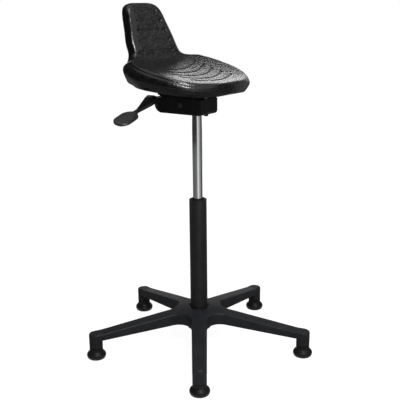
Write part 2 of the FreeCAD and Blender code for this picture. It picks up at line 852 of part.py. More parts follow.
def make_column_fittings():
    """Taper socket, the two cross pins with their ring, and the lever's rocking bush."""
    low = S.pan_floor_height + S.pan_wall
    high = low + S.taper_socket_height
    gap = S.seat_gap
    turned("taper_socket", [(head_radius_at(low) + gap, low), (S.taper_socket_radius, low),
                            (S.taper_socket_radius, high), (head_radius_at(high) + gap, high)])
    half = S.pan_half_width
    tail = half + S.pin_tail
    ring_low = half + gap
    groove = S.pivot_radius - 0.7
    pin = turned("pivot_pin", [
        (Size.of(0), -half - S.pin_head_thick), (S.pin_head_radius, -half - S.pin_head_thick),
        (S.pin_head_radius, -half), (S.pivot_radius, -half), (S.pivot_radius, ring_low),
        (groove, ring_low), (groove, ring_low + S.pin_ring_thick),
        (S.pivot_radius, ring_low + S.pin_ring_thick), (S.pivot_radius, tail), (Size.of(0), tail)])
    place(pin, 0, S.pivot_back, S.pivot_height, BACK, 90)
    clip = turned("pivot_ring", ring(groove + gap, S.pivot_radius + S.pin_ring_wide,
                                     ring_low, ring_low + S.pin_ring_thick))
    place(clip, 0, S.pivot_back, S.pivot_height, BACK, 90)
    end = half + S.tie_head_thick
    tie = turned("rear_tie_pin", [
        (Size.of(0), -end), (S.tie_head_radius, -end), (S.tie_head_radius, -half),
        (S.tie_pin_radius, -half), (S.tie_pin_radius, half), (S.tie_head_radius, half),
        (S.tie_head_radius, end), (Size.of(0), end)])
    place(tie, 0, S.tie_pin_back, S.pan_floor_height + S.tie_pin_rise, BACK, 90)

    bush = new_body("lever_bush")
    outer = box(bush_front(), bush_rear(), bush_low(), S.pan_top_height)
    half_slot = S.blade_thick / 2 + S.lever_slot_gap
    slot = box(S.blade_front - S.free_gap, S.blade_front + S.blade_width + S.free_gap,
               S.lever_axis_height - half_slot, S.lever_axis_height + half_slot)
    wall_middle = S.pan_wall / 2 - half
    reach = wall_middle - S.lever_bush_thick / 2
    pad(bush, sketch(bush, "BushOutline", "YZ_Plane", outer, slot, lift=reach), S.lever_bush_thick)
    seat = [(wall_middle, S.lever_axis_height, S.bead_radius + S.running_gap)]
    pocket(bush, circle_sketch(bush, "BeadSeat", "XZ_Plane", seat, lift=S.free_gap - S.blade_front),
           S.blade_width + 2 * S.free_gap)
    keep(bush, "lever_bush")


def bridge_levels():
    """Low and high level of the seat plate's front bridge, level at rest."""
    low = S.pivot_height + S.bridge_height
    return low, low + S.bridge_thick


def make_tension_bolt():
    """Bolt through the pan's floor, its washer and nut over the bridge, and the spring below it."""
    low, high = bridge_levels()
    floor = S.pan_floor_height
    head = S.bolt_head_radius
    bolt = turned("tension_bolt", [
        (Size.of(0), floor - S.bolt_head_thick), (head - 2, floor - S.bolt_head_thick),
        (head, floor - S.bolt_head_thick / 2), (head, floor), (S.bolt_radius, floor),
        (S.bolt_radius, floor + S.bolt_rise), (Size.of(0), floor + S.bolt_rise)])
    place(bolt, 0, -S.bolt_front, 0)
    washer_top = high + S.washer_thick
    washer = turned("tension_washer", ring(S.bolt_radius + S.seat_gap, S.washer_radius, high, washer_top))
    place(washer, 0, -S.bolt_front, 0)
    nut = new_body("tension_nut")
    pad(nut, sketch(nut, "NutOutline", "XY_Plane", hexagon(S.nut_across), lift=washer_top), S.nut_thick)
    hole = [(Size.of(0), Size.of(0), S.bolt_radius + S.seat_gap)]
    pocket(nut, circle_sketch(nut, "NutHole", "XY_Plane", hole, lift=washer_top + S.nut_thick))
    place(keep(nut, "tension_nut"), 0, -S.bolt_front, 0)
    make_tilt_spring(floor + S.pan_wall, low)


def make_tilt_spring(low, high):
    """Round wire along a helix between the pan's floor and the bridge."""
    wire = S.spring_wire_radius
    height = high - low - 2 * wire
    path = doc.addObject("Part::Helix", "SpringPath")
    bind(path, "Radius", S.spring_radius)
    bind(path, "Height", height)
    bind(path, "Pitch", height / S.spring_turns)
    place(path, 0, -S.bolt_front, low + wire)
    section = doc.addObject("Part::Circle", "SpringWire")
    bind(section, "Radius", wire)
    place(section, S.spring_radius, -S.bolt_front, low + wire, SIDE, 90)
    doc.recompute()
    spring = doc.addObject("Part::Sweep", "tilt_spring")
    spring.Sections = [section]
    spring.Spine = (path, [f"Edge{i + 1}" for i in range(len(path.Shape.Edges))])
    spring.Solid = True
    spring.Frenet = True
    keep(spring, "tilt_spring")


# ---------------------------------------------------------------- release lever

def lever_exit():
    """How far out from the middle the lever's arm starts to slope down."""
    return S.pan_half_width - S.pan_wall / 2 + S.lever_straight


def make_blade():
    """Steel arm over the release pin, with the round bead that it rocks on in the bush."""
    low, high = S.lever_axis_height - S.blade_thick / 2, S.lever_axis_height + S.blade_thick / 2
    exit_x = lever_exit()
    drop = (S.blade_reach - exit_x) * tan_of(S.lever_slope)
    strip = [(-exit_x, low), (S.blade_top_run, low), (S.blade_top_run, high), (-exit_x, high),
             (-S.blade_reach, high - drop), (-S.blade_reach, low - drop)]
    blade = new_body("lever_blade")
    pad(blade, sketch(blade, "BladeSide", "XZ_Plane", strip, lift=-S.blade_front),
        S.blade_width, flip=True)
    arm = box(-S.blade_top_run, S.blade_top_run, -S.blade_top_run, S.blade_front + S.blade_width)
    pad(blade, sketch(blade, "BladeArm", "XY_Plane", arm, lift=low), S.blade_thick)
    bead = [(S.pan_wall / 2 - S.pan_half_width, S.lever_axis_height, S.bead_radius)]
    pad(blade, circle_sketch(blade, "BladeBead", "XZ_Plane", bead, lift=-S.blade_front),
        S.blade_width, flip=True)
    keep(blade, "lever_blade")


def arm_plan():
    """Plan of the grip's arm, wide at its root and narrow at its neck, anticlockwise."""
    into_paddle = S.paddle_near + S.paddle_half / 2
    rear, front = S.neck_back + S.neck_half, S.neck_back - S.neck_half
    return [(-S.grip_start, -S.grip_front), (-S.grip_start, S.grip_rear), (-S.neck_reach, rear),
            (-into_paddle, rear), (-into_paddle, front), (-S.neck_reach, front),
            (-S.grip_root_run, -S.grip_front)]


def paddle_plan():
    """Plan of the grip's paddle: a long round, anticlockwise."""
    half = S.paddle_half
    rear, front = S.paddle_back + half, S.paddle_back - half
    return [(half - S.paddle_far, rear, "round"), (half - S.paddle_far, front),
            (-half - S.paddle_near, front, "round"), (-half - S.paddle_near, rear)]


def make_grip():
    """Moulded grip over the sloping end of the arm, its paddle rolled towards the sitter's hand."""
    thick, gap = S.grip_thick, S.seat_gap
    arm = new_body("GripArm")
    top = thick / 2 + S.hood_rise
    pad(arm, sketch(arm, "ArmPlan", "XY_Plane", arm_plan(), lift=-thick / 2), thick + S.hood_rise)
    over = [(-S.paddle_far, thick / 2), (-S.neck_reach, thick / 2), (-S.hood_run, top),
            (-S.hood_run, top + 1), (-S.paddle_far, top + 1)]
    hood = pocket(arm, sketch(arm, "OverArm", "XZ_Plane", over), 3 * S.grip_rear, both_ways=True)
    fillet(arm, hood, lambda p: near(p.z, -thick / 2) and -S.paddle_near.number < p.x
           and not near(-p.x, S.grip_start), S.grip_edge_radius)
    depth = (S.blade_reach - lever_exit()) / cos_of(S.lever_slope) + S.blade_thick
    slot = box(-depth, Size.of(1), -S.blade_width / 2 - gap, S.blade_width / 2 + gap)
    pocket(arm, sketch(arm, "BladeSlot", "XY_Plane", slot), S.blade_thick + 2 * gap, both_ways=True)
    paddle = new_body("GripPaddle")
    slab = pad(paddle, sketch(paddle, "PaddlePlan", "XY_Plane", paddle_plan()), thick, both_ways=True)
    fillet(paddle, slab, lambda p: near(abs(p.z), thick / 2), S.grip_edge_radius)
    place(paddle, axis=SIDE, angle=S.paddle_roll)
    grip = doc.addObject("Part::Fuse", "lever_grip")
    grip.Base, grip.Tool = arm, paddle
    place(grip, -lever_exit(), S.blade_front + S.blade_width / 2, S.lever_axis_height,
          BACK, -S.lever_slope)
    keep(grip, "lever_grip")


# ---------------------------------------------------------------- seat plate

def on_seat(thing, x=0, run=0):
    """Place a sub-part in the seat plate's tilted frame, whose origin is the tilt pivot."""
    tilt = S.seat_tilt
    return place(thing, x, S.pivot_back + Size.of(run) * cos_of(tilt),
                 S.pivot_height + Size.of(run) * sin_of(tilt), SIDE, tilt)


def to_seat(run, rise):
    """A level offset from the tilt pivot, read in the seat plate's tilted frame."""
    tilt = S.seat_tilt
    return (run * cos_of(tilt) + rise * sin_of(tilt), rise * cos_of(tilt) - run * sin_of(tilt))


def cheek_faces():
    outer = S.pan_half_width - S.pan_wall - S.cheek_gap
    return outer - S.cheek_thick, outer


def screw_spots():
    return [(S.screw_half_x * i, S.screw_half_y * j) for i in (-1, 1) for j in (-1, 1)]


def make_seat_plate():
    """Pressed plate with a cheek on either side inside the pan and a bridge joining their fronts."""
    body = new_body("seat_plate")
    low = S.seat_underside - S.plate_thick
    half = S.plate_half_width
    top = rounded_box(-half, half, -S.plate_front, S.plate_rear, S.plate_corner)
    pad(body, sketch(body, "PlateTop", "XY_Plane", top, lift=low), S.plate_thick)
    boss, inner_outer = S.cheek_drop, cheek_faces()
    front_low = to_seat(-S.bridge_front, S.bridge_height)
    back_low = to_seat(S.bridge_depth - S.bridge_front, S.bridge_height)
    cheek = [(-boss, Size.of(0), "round"), (boss, Size.of(0)), (S.cheek_rear_run, S.cheek_rear_rise),
             (S.cheek_rear_run, low), (S.cheek_horn - S.bridge_front, low), front_low, back_low]
    inner = inner_outer[0]
    pad(body, sketch(body, "CheekRight", "YZ_Plane", cheek, lift=-inner), S.cheek_thick, flip=True)
    pad(body, sketch(body, "CheekLeft", "YZ_Plane", cheek, lift=inner), S.cheek_thick)
    high = S.bridge_height + S.bridge_thick
    bridge = [front_low, back_low, to_seat(S.bridge_depth - S.bridge_front, high),
              to_seat(-S.bridge_front, high)]
    pad(body, sketch(body, "Bridge", "YZ_Plane", bridge), 2 * inner, both_ways=True)
    eyes = circle_sketch(body, "PivotEyes", "YZ_Plane",
                         [(Size.of(0), Size.of(0), S.pivot_bush_radius + S.seat_gap)])
    pocket(body, eyes, 2 * S.pan_half_width, both_ways=True)
    holes = [(x, y, S.screw_radius + S.free_gap) for x, y in screw_spots()]
    pocket(body, circle_sketch(body, "ScrewHoles", "XY_Plane", holes, lift=S.seat_underside),
           S.plate_thick + 1)
    slot_run = S.pivot_back + S.bolt_front
    middle = to_seat(-slot_run, S.bridge_height)
    slot_half = S.bolt_radius + S.bolt_slot_gap
    slot = box(-slot_half, slot_half, middle[0] - slot_half - S.bolt_slot_half,
               middle[0] + slot_half + S.bolt_slot_half)
    pocket(body, sketch(body, "BoltSlot", "XY_Plane", slot, lift=middle[1] + 2 * S.bridge_thick),
           4 * S.bridge_thick)
    keep(on_seat(body), "seat_plate")

    flange = inner - S.seat_gap
    inside = inner - S.bush_flange_thick
    bore = S.pivot_radius + S.running_gap
    bushes = []
    for side in (-1, 1):
        outline = [(bore, inside), (S.bush_flange_radius, inside), (S.bush_flange_radius, flange),
                   (S.pivot_bush_radius, flange), (S.pivot_bush_radius, inner_outer[1]),
                   (bore, inner_outer[1])]
        bush = turned_body("PivotBushLeft" if side > 0 else "PivotBushRight", outline)
        bushes.append(place(bush, 0, S.pivot_back, S.pivot_height, BACK, 90 * side))
    group("pivot_bushes", bushes)


def make_fastening():
    """Seat board with its T-nuts, and the screws and washers that hold it on the plate."""
    under, board_top = S.seat_underside, S.seat_underside + S.board_thick
    gap = S.seat_gap
    board = new_body("seat_board")
    pad(board, sketch(board, "BoardOutline", "XY_Plane", board_outline(Size.of(0)), lift=under),
        S.board_thick)
    barrels = [(x, y, S.t_nut_radius + gap) for x, y in screw_spots()]
    pocket(board, circle_sketch(board, "NutBarrels", "XY_Plane", barrels, lift=board_top + 1),
           S.board_thick + 2)
    flanges = [(x, y, S.t_nut_flange_radius + gap) for x, y in screw_spots()]
    pocket(board, circle_sketch(board, "NutFlanges", "XY_Plane", flanges, lift=board_top),
           S.t_nut_flange_thick)
    keep(on_seat(board), "seat_board")

    washer_low = under - S.plate_thick - S.screw_washer_thick
    head_low = washer_low - S.screw_head_thick
    shank = S.screw_radius
    key = S.socket_key_radius
    flange_low = board_top - S.t_nut_flange_thick
    screws, washers, nuts = [], [], []
    for k, (x, y) in enumerate(screw_spots(), start=1):
        screw = [(Size.of(0), head_low + key), (key, head_low + key), (key, head_low),
                 (S.screw_head_radius, head_low), (S.screw_head_radius, washer_low),
                 (shank, washer_low), (shank, washer_low + S.screw_length),
                 (Size.of(0), washer_low + S.screw_length)]
        screws.append(on_seat(turned_body(f"Screw{k}", screw), x, y))
        washer = ring(shank + gap, S.screw_washer_radius, washer_low, under - S.plate_thick)
        washers.append(on_seat(turned_body(f"Washer{k}", washer), x, y))
        nut = [(shank + gap, under), (S.t_nut_radius, under), (S.t_nut_radius, flange_low),
               (S.t_nut_flange_radius, flange_low), (S.t_nut_flange_radius, board_top),
               (shank + gap, board_top)]
        nuts.append(on_seat(turned_body(f"TNut{k}", nut), x, y))
    group("seat_screws", screws)
    group("screw_washers", washers)
    group("t_nuts", nuts)


def board_outline(gap):
    half = S.board_half_width + gap
    return rounded_box(-half, half, -S.board_front - gap, S.board_rear + gap, S.board_corner + gap)


# ---------------------------------------------------------------- seat and backrest

# Cross-sections from the nose to the bend: place (share of the front reach ahead of the
# pivot, or of the bend's reach behind it), half-width at the upper edge and at the widest
# (shares of the seat's), dish (share), how much of the full height is there, and how far
# down the widest line lies and how far in the underside starts (shares of the height).
SEAT_STATIONS = [
    (-0.998, 0.06, 0.10, 0.0, 0.48, 0.37, 0.45), (-0.98, 0.155, 0.24, 0.0, 0.74, 0.37, 0.46),
    (-0.95, 0.245, 0.36, 0.0, 0.89, 0.37, 0.47), (-0.90, 0.36, 0.49, 0.0, 0.96, 0.37, 0.47),
    (-0.80, 0.535, 0.64, 0.06, 1.0, 0.37, 0.45), (-0.68, 0.675, 0.745, 0.22, 1.0, 0.37, 0.42),
    (-0.50, 0.785, 0.845, 0.52, 1.0, 0.37, 0.37), (-0.28, 0.865, 0.925, 0.82, 1.0, 0.37, 0.32),
    (0.0, 0.905, 0.98, 1.04, 1.0, 0.37, 0.27), (0.35, 0.915, 0.995, 1.10, 1.0, 0.36, 0.27),
    (0.65, 0.887, 0.978, 1.10, 1.0, 0.33, 0.36), (0.85, 0.85, 0.945, 1.06, 1.0, 0.28, 0.46),
]
# Cross-sections round the bend: place (share of its turn), then as above, with the depth from
# the seat's surface to the underside (share of the pad's depth at the bend) for the height.
BEND_STATIONS = [
    (0.0, 0.805, 0.912, 1.0, 1.02, 0.24, 0.53), (0.18, 0.755, 0.868, 0.85, 1.07, 0.22, 0.56),
    (0.37, 0.69, 0.775, 0.58, 1.04, 0.24, 0.54), (0.59, 0.605, 0.655, 0.38, 0.91, 0.30, 0.45),
    (0.79, 0.555, 0.588, 0.34, 0.68, 0.35, 0.40), (1.0, 0.527, 0.547, 0.33, 0.57, 0.37, 0.37),
]
# Cross-sections up the backrest: place (share of its length), half-width and thickness (shares).
BACK_STATIONS = [
    (0.2, 0.965, 0.98), (0.415, 0.89, 1.0), (0.6, 0.82, 1.0), (0.787, 0.745, 0.98),
    (0.9, 0.645, 0.92), (0.965, 0.485, 0.78), (0.995, 0.27, 0.5),
]
# How far down the backrest's widest line lies and how much narrower its rear is, likewise.
BACK_BELLY, BACK_TUCK = 0.37, 0.37


def pad_depth(place_at):
    """Depth of the seat's pad on its centre line, thinnest at the waist under the thighs."""
    waist = -0.54 * S.seat_front_reach.number
    if place_at < waist:
        share = (waist - place_at) / (waist + S.seat_front_reach.number)
        return S.waist_pad.number + (S.front_band - S.waist_pad).number * share ** 2
    share = (place_at - waist) / (S.seat_bend_reach.number - waist)
    return S.waist_pad.number + (S.bend_pad - S.waist_pad).number * share ** 2


def cross_section(run, rise, heading, upper, widest, dish, depth, belly, tuck):
    """Closed outline across the seat at one point of its centre line.

    run and rise place the centre of the top surface, heading is its slope in degrees,
    upper and widest are half-widths, dish is how far the upper edge stands above the
    centre, and depth reaches down to the underside. belly and tuck are the shares of the
    height at which the widest line lies and by which the underside is narrower.
    """
    lean = math.radians(heading)
    height = dish + depth

    def at(x, level):
        return Vector(x, run - level * math.sin(lean), rise + level * math.cos(lean))

    foot = widest - tuck * height
    shoulder = (widest - 0.26 * tuck * height, dish - (belly + 0.36) * height)
    flank = [(upper, dish), (widest, dish - belly * height), shoulder, (foot, -depth)]
    across = [(share * upper, dish * share ** 2) for share in (-1, -0.55, 0, 0.55, 1)]
    sides = [across, flank, [(foot, -depth), (-foot, -depth)],
             [(-x, level) for x, level in reversed(flank)]]
    edges = []
    for side in sides:
        curve = Part.BSplineCurve()
        curve.interpolate([at(x, level) for x, level in side])
        edges.append(curve.toShape())
    return Part.Wire(edges)


def seat_sections():
    width, dish = S.seat_half_width.number, S.seat_dish.number
    under, bend = S.seat_underside.number, S.seat_bend_reach.number
    for share, upper, widest, dished, full, belly, tuck in SEAT_STATIONS:
        run = share * (S.seat_front_reach.number if share < 0 else bend)
        depth = pad_depth(run)
        shrink = depth * (1 - full) / 2
        yield cross_section(run, under + depth - shrink, 0, upper * width, widest * width,
                            dished * dish, depth - 2 * shrink, belly, tuck)
    slope = bend_slope()
    centre_run = bend - S.bend_radius.number * math.sin(slope)
    centre_rise = under + pad_depth(bend) + S.bend_radius.number * math.cos(slope)
    full_turn = math.radians(90 - S.back_lean.number) - slope
    for share, upper, widest, dished, deep, belly, tuck in BEND_STATIONS:
        heading = slope + share * full_turn
        run = centre_run + S.bend_radius.number * math.sin(heading)
        rise = centre_rise - S.bend_radius.number * math.cos(heading)
        depth = deep * S.bend_pad.number
        yield cross_section(run, rise, math.degrees(heading), upper * width, widest * width,
                            dished * dish, depth, belly, tuck)
    for share, wide, deep in BACK_STATIONS:
        length = share * S.back_length.number
        half = wide * S.back_half_width.number
        trim = S.back_thick.number * (1 - deep) / 2
        yield cross_section(run + length * math.cos(heading) + trim * math.sin(heading),
                            rise + length * math.sin(heading) - trim * math.cos(heading),
                            math.degrees(heading), half * 0.97, half * 1.02,
                            S.back_dish.number * wide * wide * deep, S.back_thick.number * deep,
                            BACK_BELLY, BACK_TUCK)


def bend_slope():
    """Slope of the seat's centre line where the bend begins, in radians."""
    step = 0.5
    bend = S.seat_bend_reach.number
    return math.atan2(pad_depth(bend + step) - pad_depth(bend - step), 2 * step)


def make_seat_shell():
    """Seat and backrest as one moulded cushion, with the board let into its underside."""
    cushion = doc.addObject("Part::Feature", "Cushion")
    cushion.Shape = Part.makeLoft(list(seat_sections()), True, False)
    on_seat(cushion)
    recess = new_body("BoardRecess")
    low = S.seat_underside - 5
    pad(recess, sketch(recess, "RecessOutline", "XY_Plane", board_outline(S.seat_gap), lift=low),
        S.board_thick + 5)
    on_seat(recess)
    shell = doc.addObject("Part::Cut", "seat_shell")
    shell.Base = cushion
    shell.Tool = recess
    keep(shell, "seat_shell")


# ---------------------------------------------------------------- build, check, export

def build():
    make_base_star()
    make_glides()
    make_outer_tube()
    make_thrust_bearing()
    make_rod()
    make_pressure_tube()
    make_pan()
    make_column_fittings()
    make_tension_bolt()
    make_blade()
    make_grip()
    make_seat_plate()
    make_fastening()
    make_seat_shell()
    doc.recompute()


def check():
    """Stop with a message when any object failed or any sub-part is not a sound solid."""
    faults = [thing.Label for thing in doc.Objects if {"Invalid", "Error"} & set(thing.State)]
    for piece in pieces:
        shape = piece.Shape
        if shape.isNull() or not shape.isValid() or not shape.Solids or shape.Volume <= 0:
            faults.append(piece.Label)
    if faults:
        raise RuntimeError("failed: " + ", ".join(sorted(set(faults))))


def export():
    os.makedirs("parts", exist_ok=True)
    for piece in pieces:
        piece.Shape.exportStep(f"parts/{piece.Label}.step")
        count = len(piece.Shape.Solids)
        print(f"{piece.Label:20s} {count:2d} solids {piece.Shape.Volume / 1000:9.2f} cm3")


build()
check()
export()
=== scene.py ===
"""Perch stool, dressed: five-arm base, gas column, tilt mechanism, release lever and seat.

Lengths are in millimetres inside the shape classes and in metres in every mesh. The floor is
z = 0, the column stands on the z axis, the sitter faces -y and the lever is on the -x side.
"""

import logging
import math
from dataclasses import dataclass
from enum import Enum

import bpy
import numpy as np
from mathutils import Matrix, Vector


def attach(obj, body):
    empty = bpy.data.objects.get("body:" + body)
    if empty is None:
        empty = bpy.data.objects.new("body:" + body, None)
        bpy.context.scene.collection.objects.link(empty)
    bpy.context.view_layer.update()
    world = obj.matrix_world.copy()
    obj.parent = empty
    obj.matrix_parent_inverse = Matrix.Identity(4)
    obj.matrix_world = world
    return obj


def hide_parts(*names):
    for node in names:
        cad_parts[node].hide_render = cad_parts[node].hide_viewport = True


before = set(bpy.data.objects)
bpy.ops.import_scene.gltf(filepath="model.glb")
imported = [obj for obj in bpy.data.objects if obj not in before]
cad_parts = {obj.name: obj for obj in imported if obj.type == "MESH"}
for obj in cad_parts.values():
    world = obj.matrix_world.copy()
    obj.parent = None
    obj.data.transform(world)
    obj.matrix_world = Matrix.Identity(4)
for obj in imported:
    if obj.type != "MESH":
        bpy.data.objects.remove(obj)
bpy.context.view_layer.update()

log = logging.getLogger("perch_stool")
MM = 0.001
NUMBER_SOCKET = "NodeSocketFloat"
Array = np.ndarray
Row = tuple[float, ...]
Pair = tuple[float, float]
Triple = tuple[float, float, float]
Material = bpy.types.Material
Socket = bpy.types.NodeSocket
Thing = bpy.types.Object
Tree = bpy.types.NodeTree


# ---------------- shader graphs

@dataclass
class Graph:
    """A node tree that is being filled with nodes and links."""

    tree: Tree

    def feed(self, socket: Socket, value: object) -> None:
        """Set or link one input.

        Args:
            socket: The input that receives the value.
            value: An output to link, or a number, vector or colour.
        """
        if isinstance(value, Socket):
            self.tree.links.new(value, socket)
        elif socket.type == "RGBA" and len(value) == 3:
            socket.default_value = (*value, 1.0)
        else:
            socket.default_value = value

    def add(self, kind: str, inputs: dict | None = None, **settings: object) -> bpy.types.Node:
        """Add a node.

        Args:
            kind: The node's type without its "ShaderNode" prefix.
            inputs: Values or outputs for its inputs, by name or index.
            **settings: Properties of the node itself.

        Returns:
            The new node.
        """
        node = self.tree.nodes.new("ShaderNode" + kind)
        for name, value in settings.items():
            setattr(node, name, value)
        for name, value in (inputs or {}).items():
            self.feed(node.inputs[name], value)
        return node

    def effect(self, group: Tree, **inputs: object) -> bpy.types.NodeOutputs:
        """Add a node group with the given inputs and return its outputs."""
        return self.add("Group", inputs, node_tree=group).outputs

    def maths(self, operation: str, *values: object, clamp: bool = False) -> Socket:
        """Add a Math node and return its output."""
        return self.add("Math", dict(enumerate(values)), operation=operation,
                        use_clamp=clamp).outputs[0]

    def times(self, first: object, *others: object) -> Socket:
        """Multiply two or more values.

        Args:
            first: The first factor.
            *others: The other factors.

        Returns:
            Their product.
        """
        for other in others:
            first = self.maths("MULTIPLY", first, other)
        return first

    def plus(self, first: object, second: object, clamp: bool = False) -> Socket:
        """Return the sum of two values."""
        return self.maths("ADD", first, second, clamp=clamp)

    def minus(self, first: object, second: object, clamp: bool = False) -> Socket:
        """Return the first value less the second."""
        return self.maths("SUBTRACT", first, second, clamp=clamp)

    def spread(self, value: object, low: float, high: float, to_low: float = 0.0,
               to_high: float = 1.0) -> Socket:
        """Map a value smoothly from one range to another.

        Args:
            value: The output to map.
            low: Input value that gives to_low.
            high: Input value that gives to_high.
            to_low: Result at low and below.
            to_high: Result at high and above.

        Returns:
            The mapped output.
        """
        return self.add("MapRange", {"Value": value, "From Min": low, "From Max": high,
                                     "To Min": to_low, "To Max": to_high},
                        interpolation_type="SMOOTHSTEP").outputs[0]

    def blend(self, share: object, first: object, second: object) -> Socket:
        """Mix two colours: share 0 gives the first, 1 the second."""
        return self.add("Mix", {0: share, 6: first, 7: second}, data_type="RGBA").outputs[2]

    def layers(self, colour: object, *coats: tuple[object, object]) -> Socket:
        """Lay colours over a first one.

        Args:
            colour: The first colour.
            *coats: Share and colour of each coat over it.

        Returns:
            The colour with all its coats.
        """
        for share, over in coats:
            colour = self.blend(share, colour, over)
        return colour

    def place(self) -> Socket:
        """Return the object coordinates, in metres."""
        return self.add("TexCoord").outputs["Object"]

    def stretched(self, scale: Triple) -> Socket:
        """Return the object coordinates with each axis scaled, cells per metre."""
        return self.add("Mapping", {"Vector": self.place(), "Scale": scale}).outputs[0]

    def facing(self) -> Socket:
        """Return the surface's normal."""
        return self.add("NewGeometry").outputs["Normal"]

    def rise(self, vector: object) -> Socket:
        """Return a vector's upright part."""
        return self.add("SeparateXYZ", {0: vector}).outputs[2]

    def noise(self, vector: object, scale: object, detail: float = 3.0,
              rough: float = 0.5) -> Socket:
        """Return a noise texture's factor, 0 to 1."""
        return self.add("TexNoise", {"Vector": vector, "Scale": scale, "Detail": detail,
                                     "Roughness": rough}).outputs["Fac"]

    def show(self, shader: bpy.types.Node, end: str = "OutputMaterial") -> None:
        """Link a shader to the tree's output node."""
        self.feed(self.add(end).inputs["Surface"], shader.outputs[0])


def open_graph(owner: Material | bpy.types.World) -> Graph:
    """Empty a node tree.

    Args:
        owner: The material or world that has the tree.

    Returns:
        The tree as a graph.
    """
    owner.use_nodes = True
    owner.node_tree.nodes.clear()
    return Graph(owner.node_tree)


class Side(Enum):
    """The side of a shader group that a socket is on."""

    INPUT = "INPUT"
    OUTPUT = "OUTPUT"


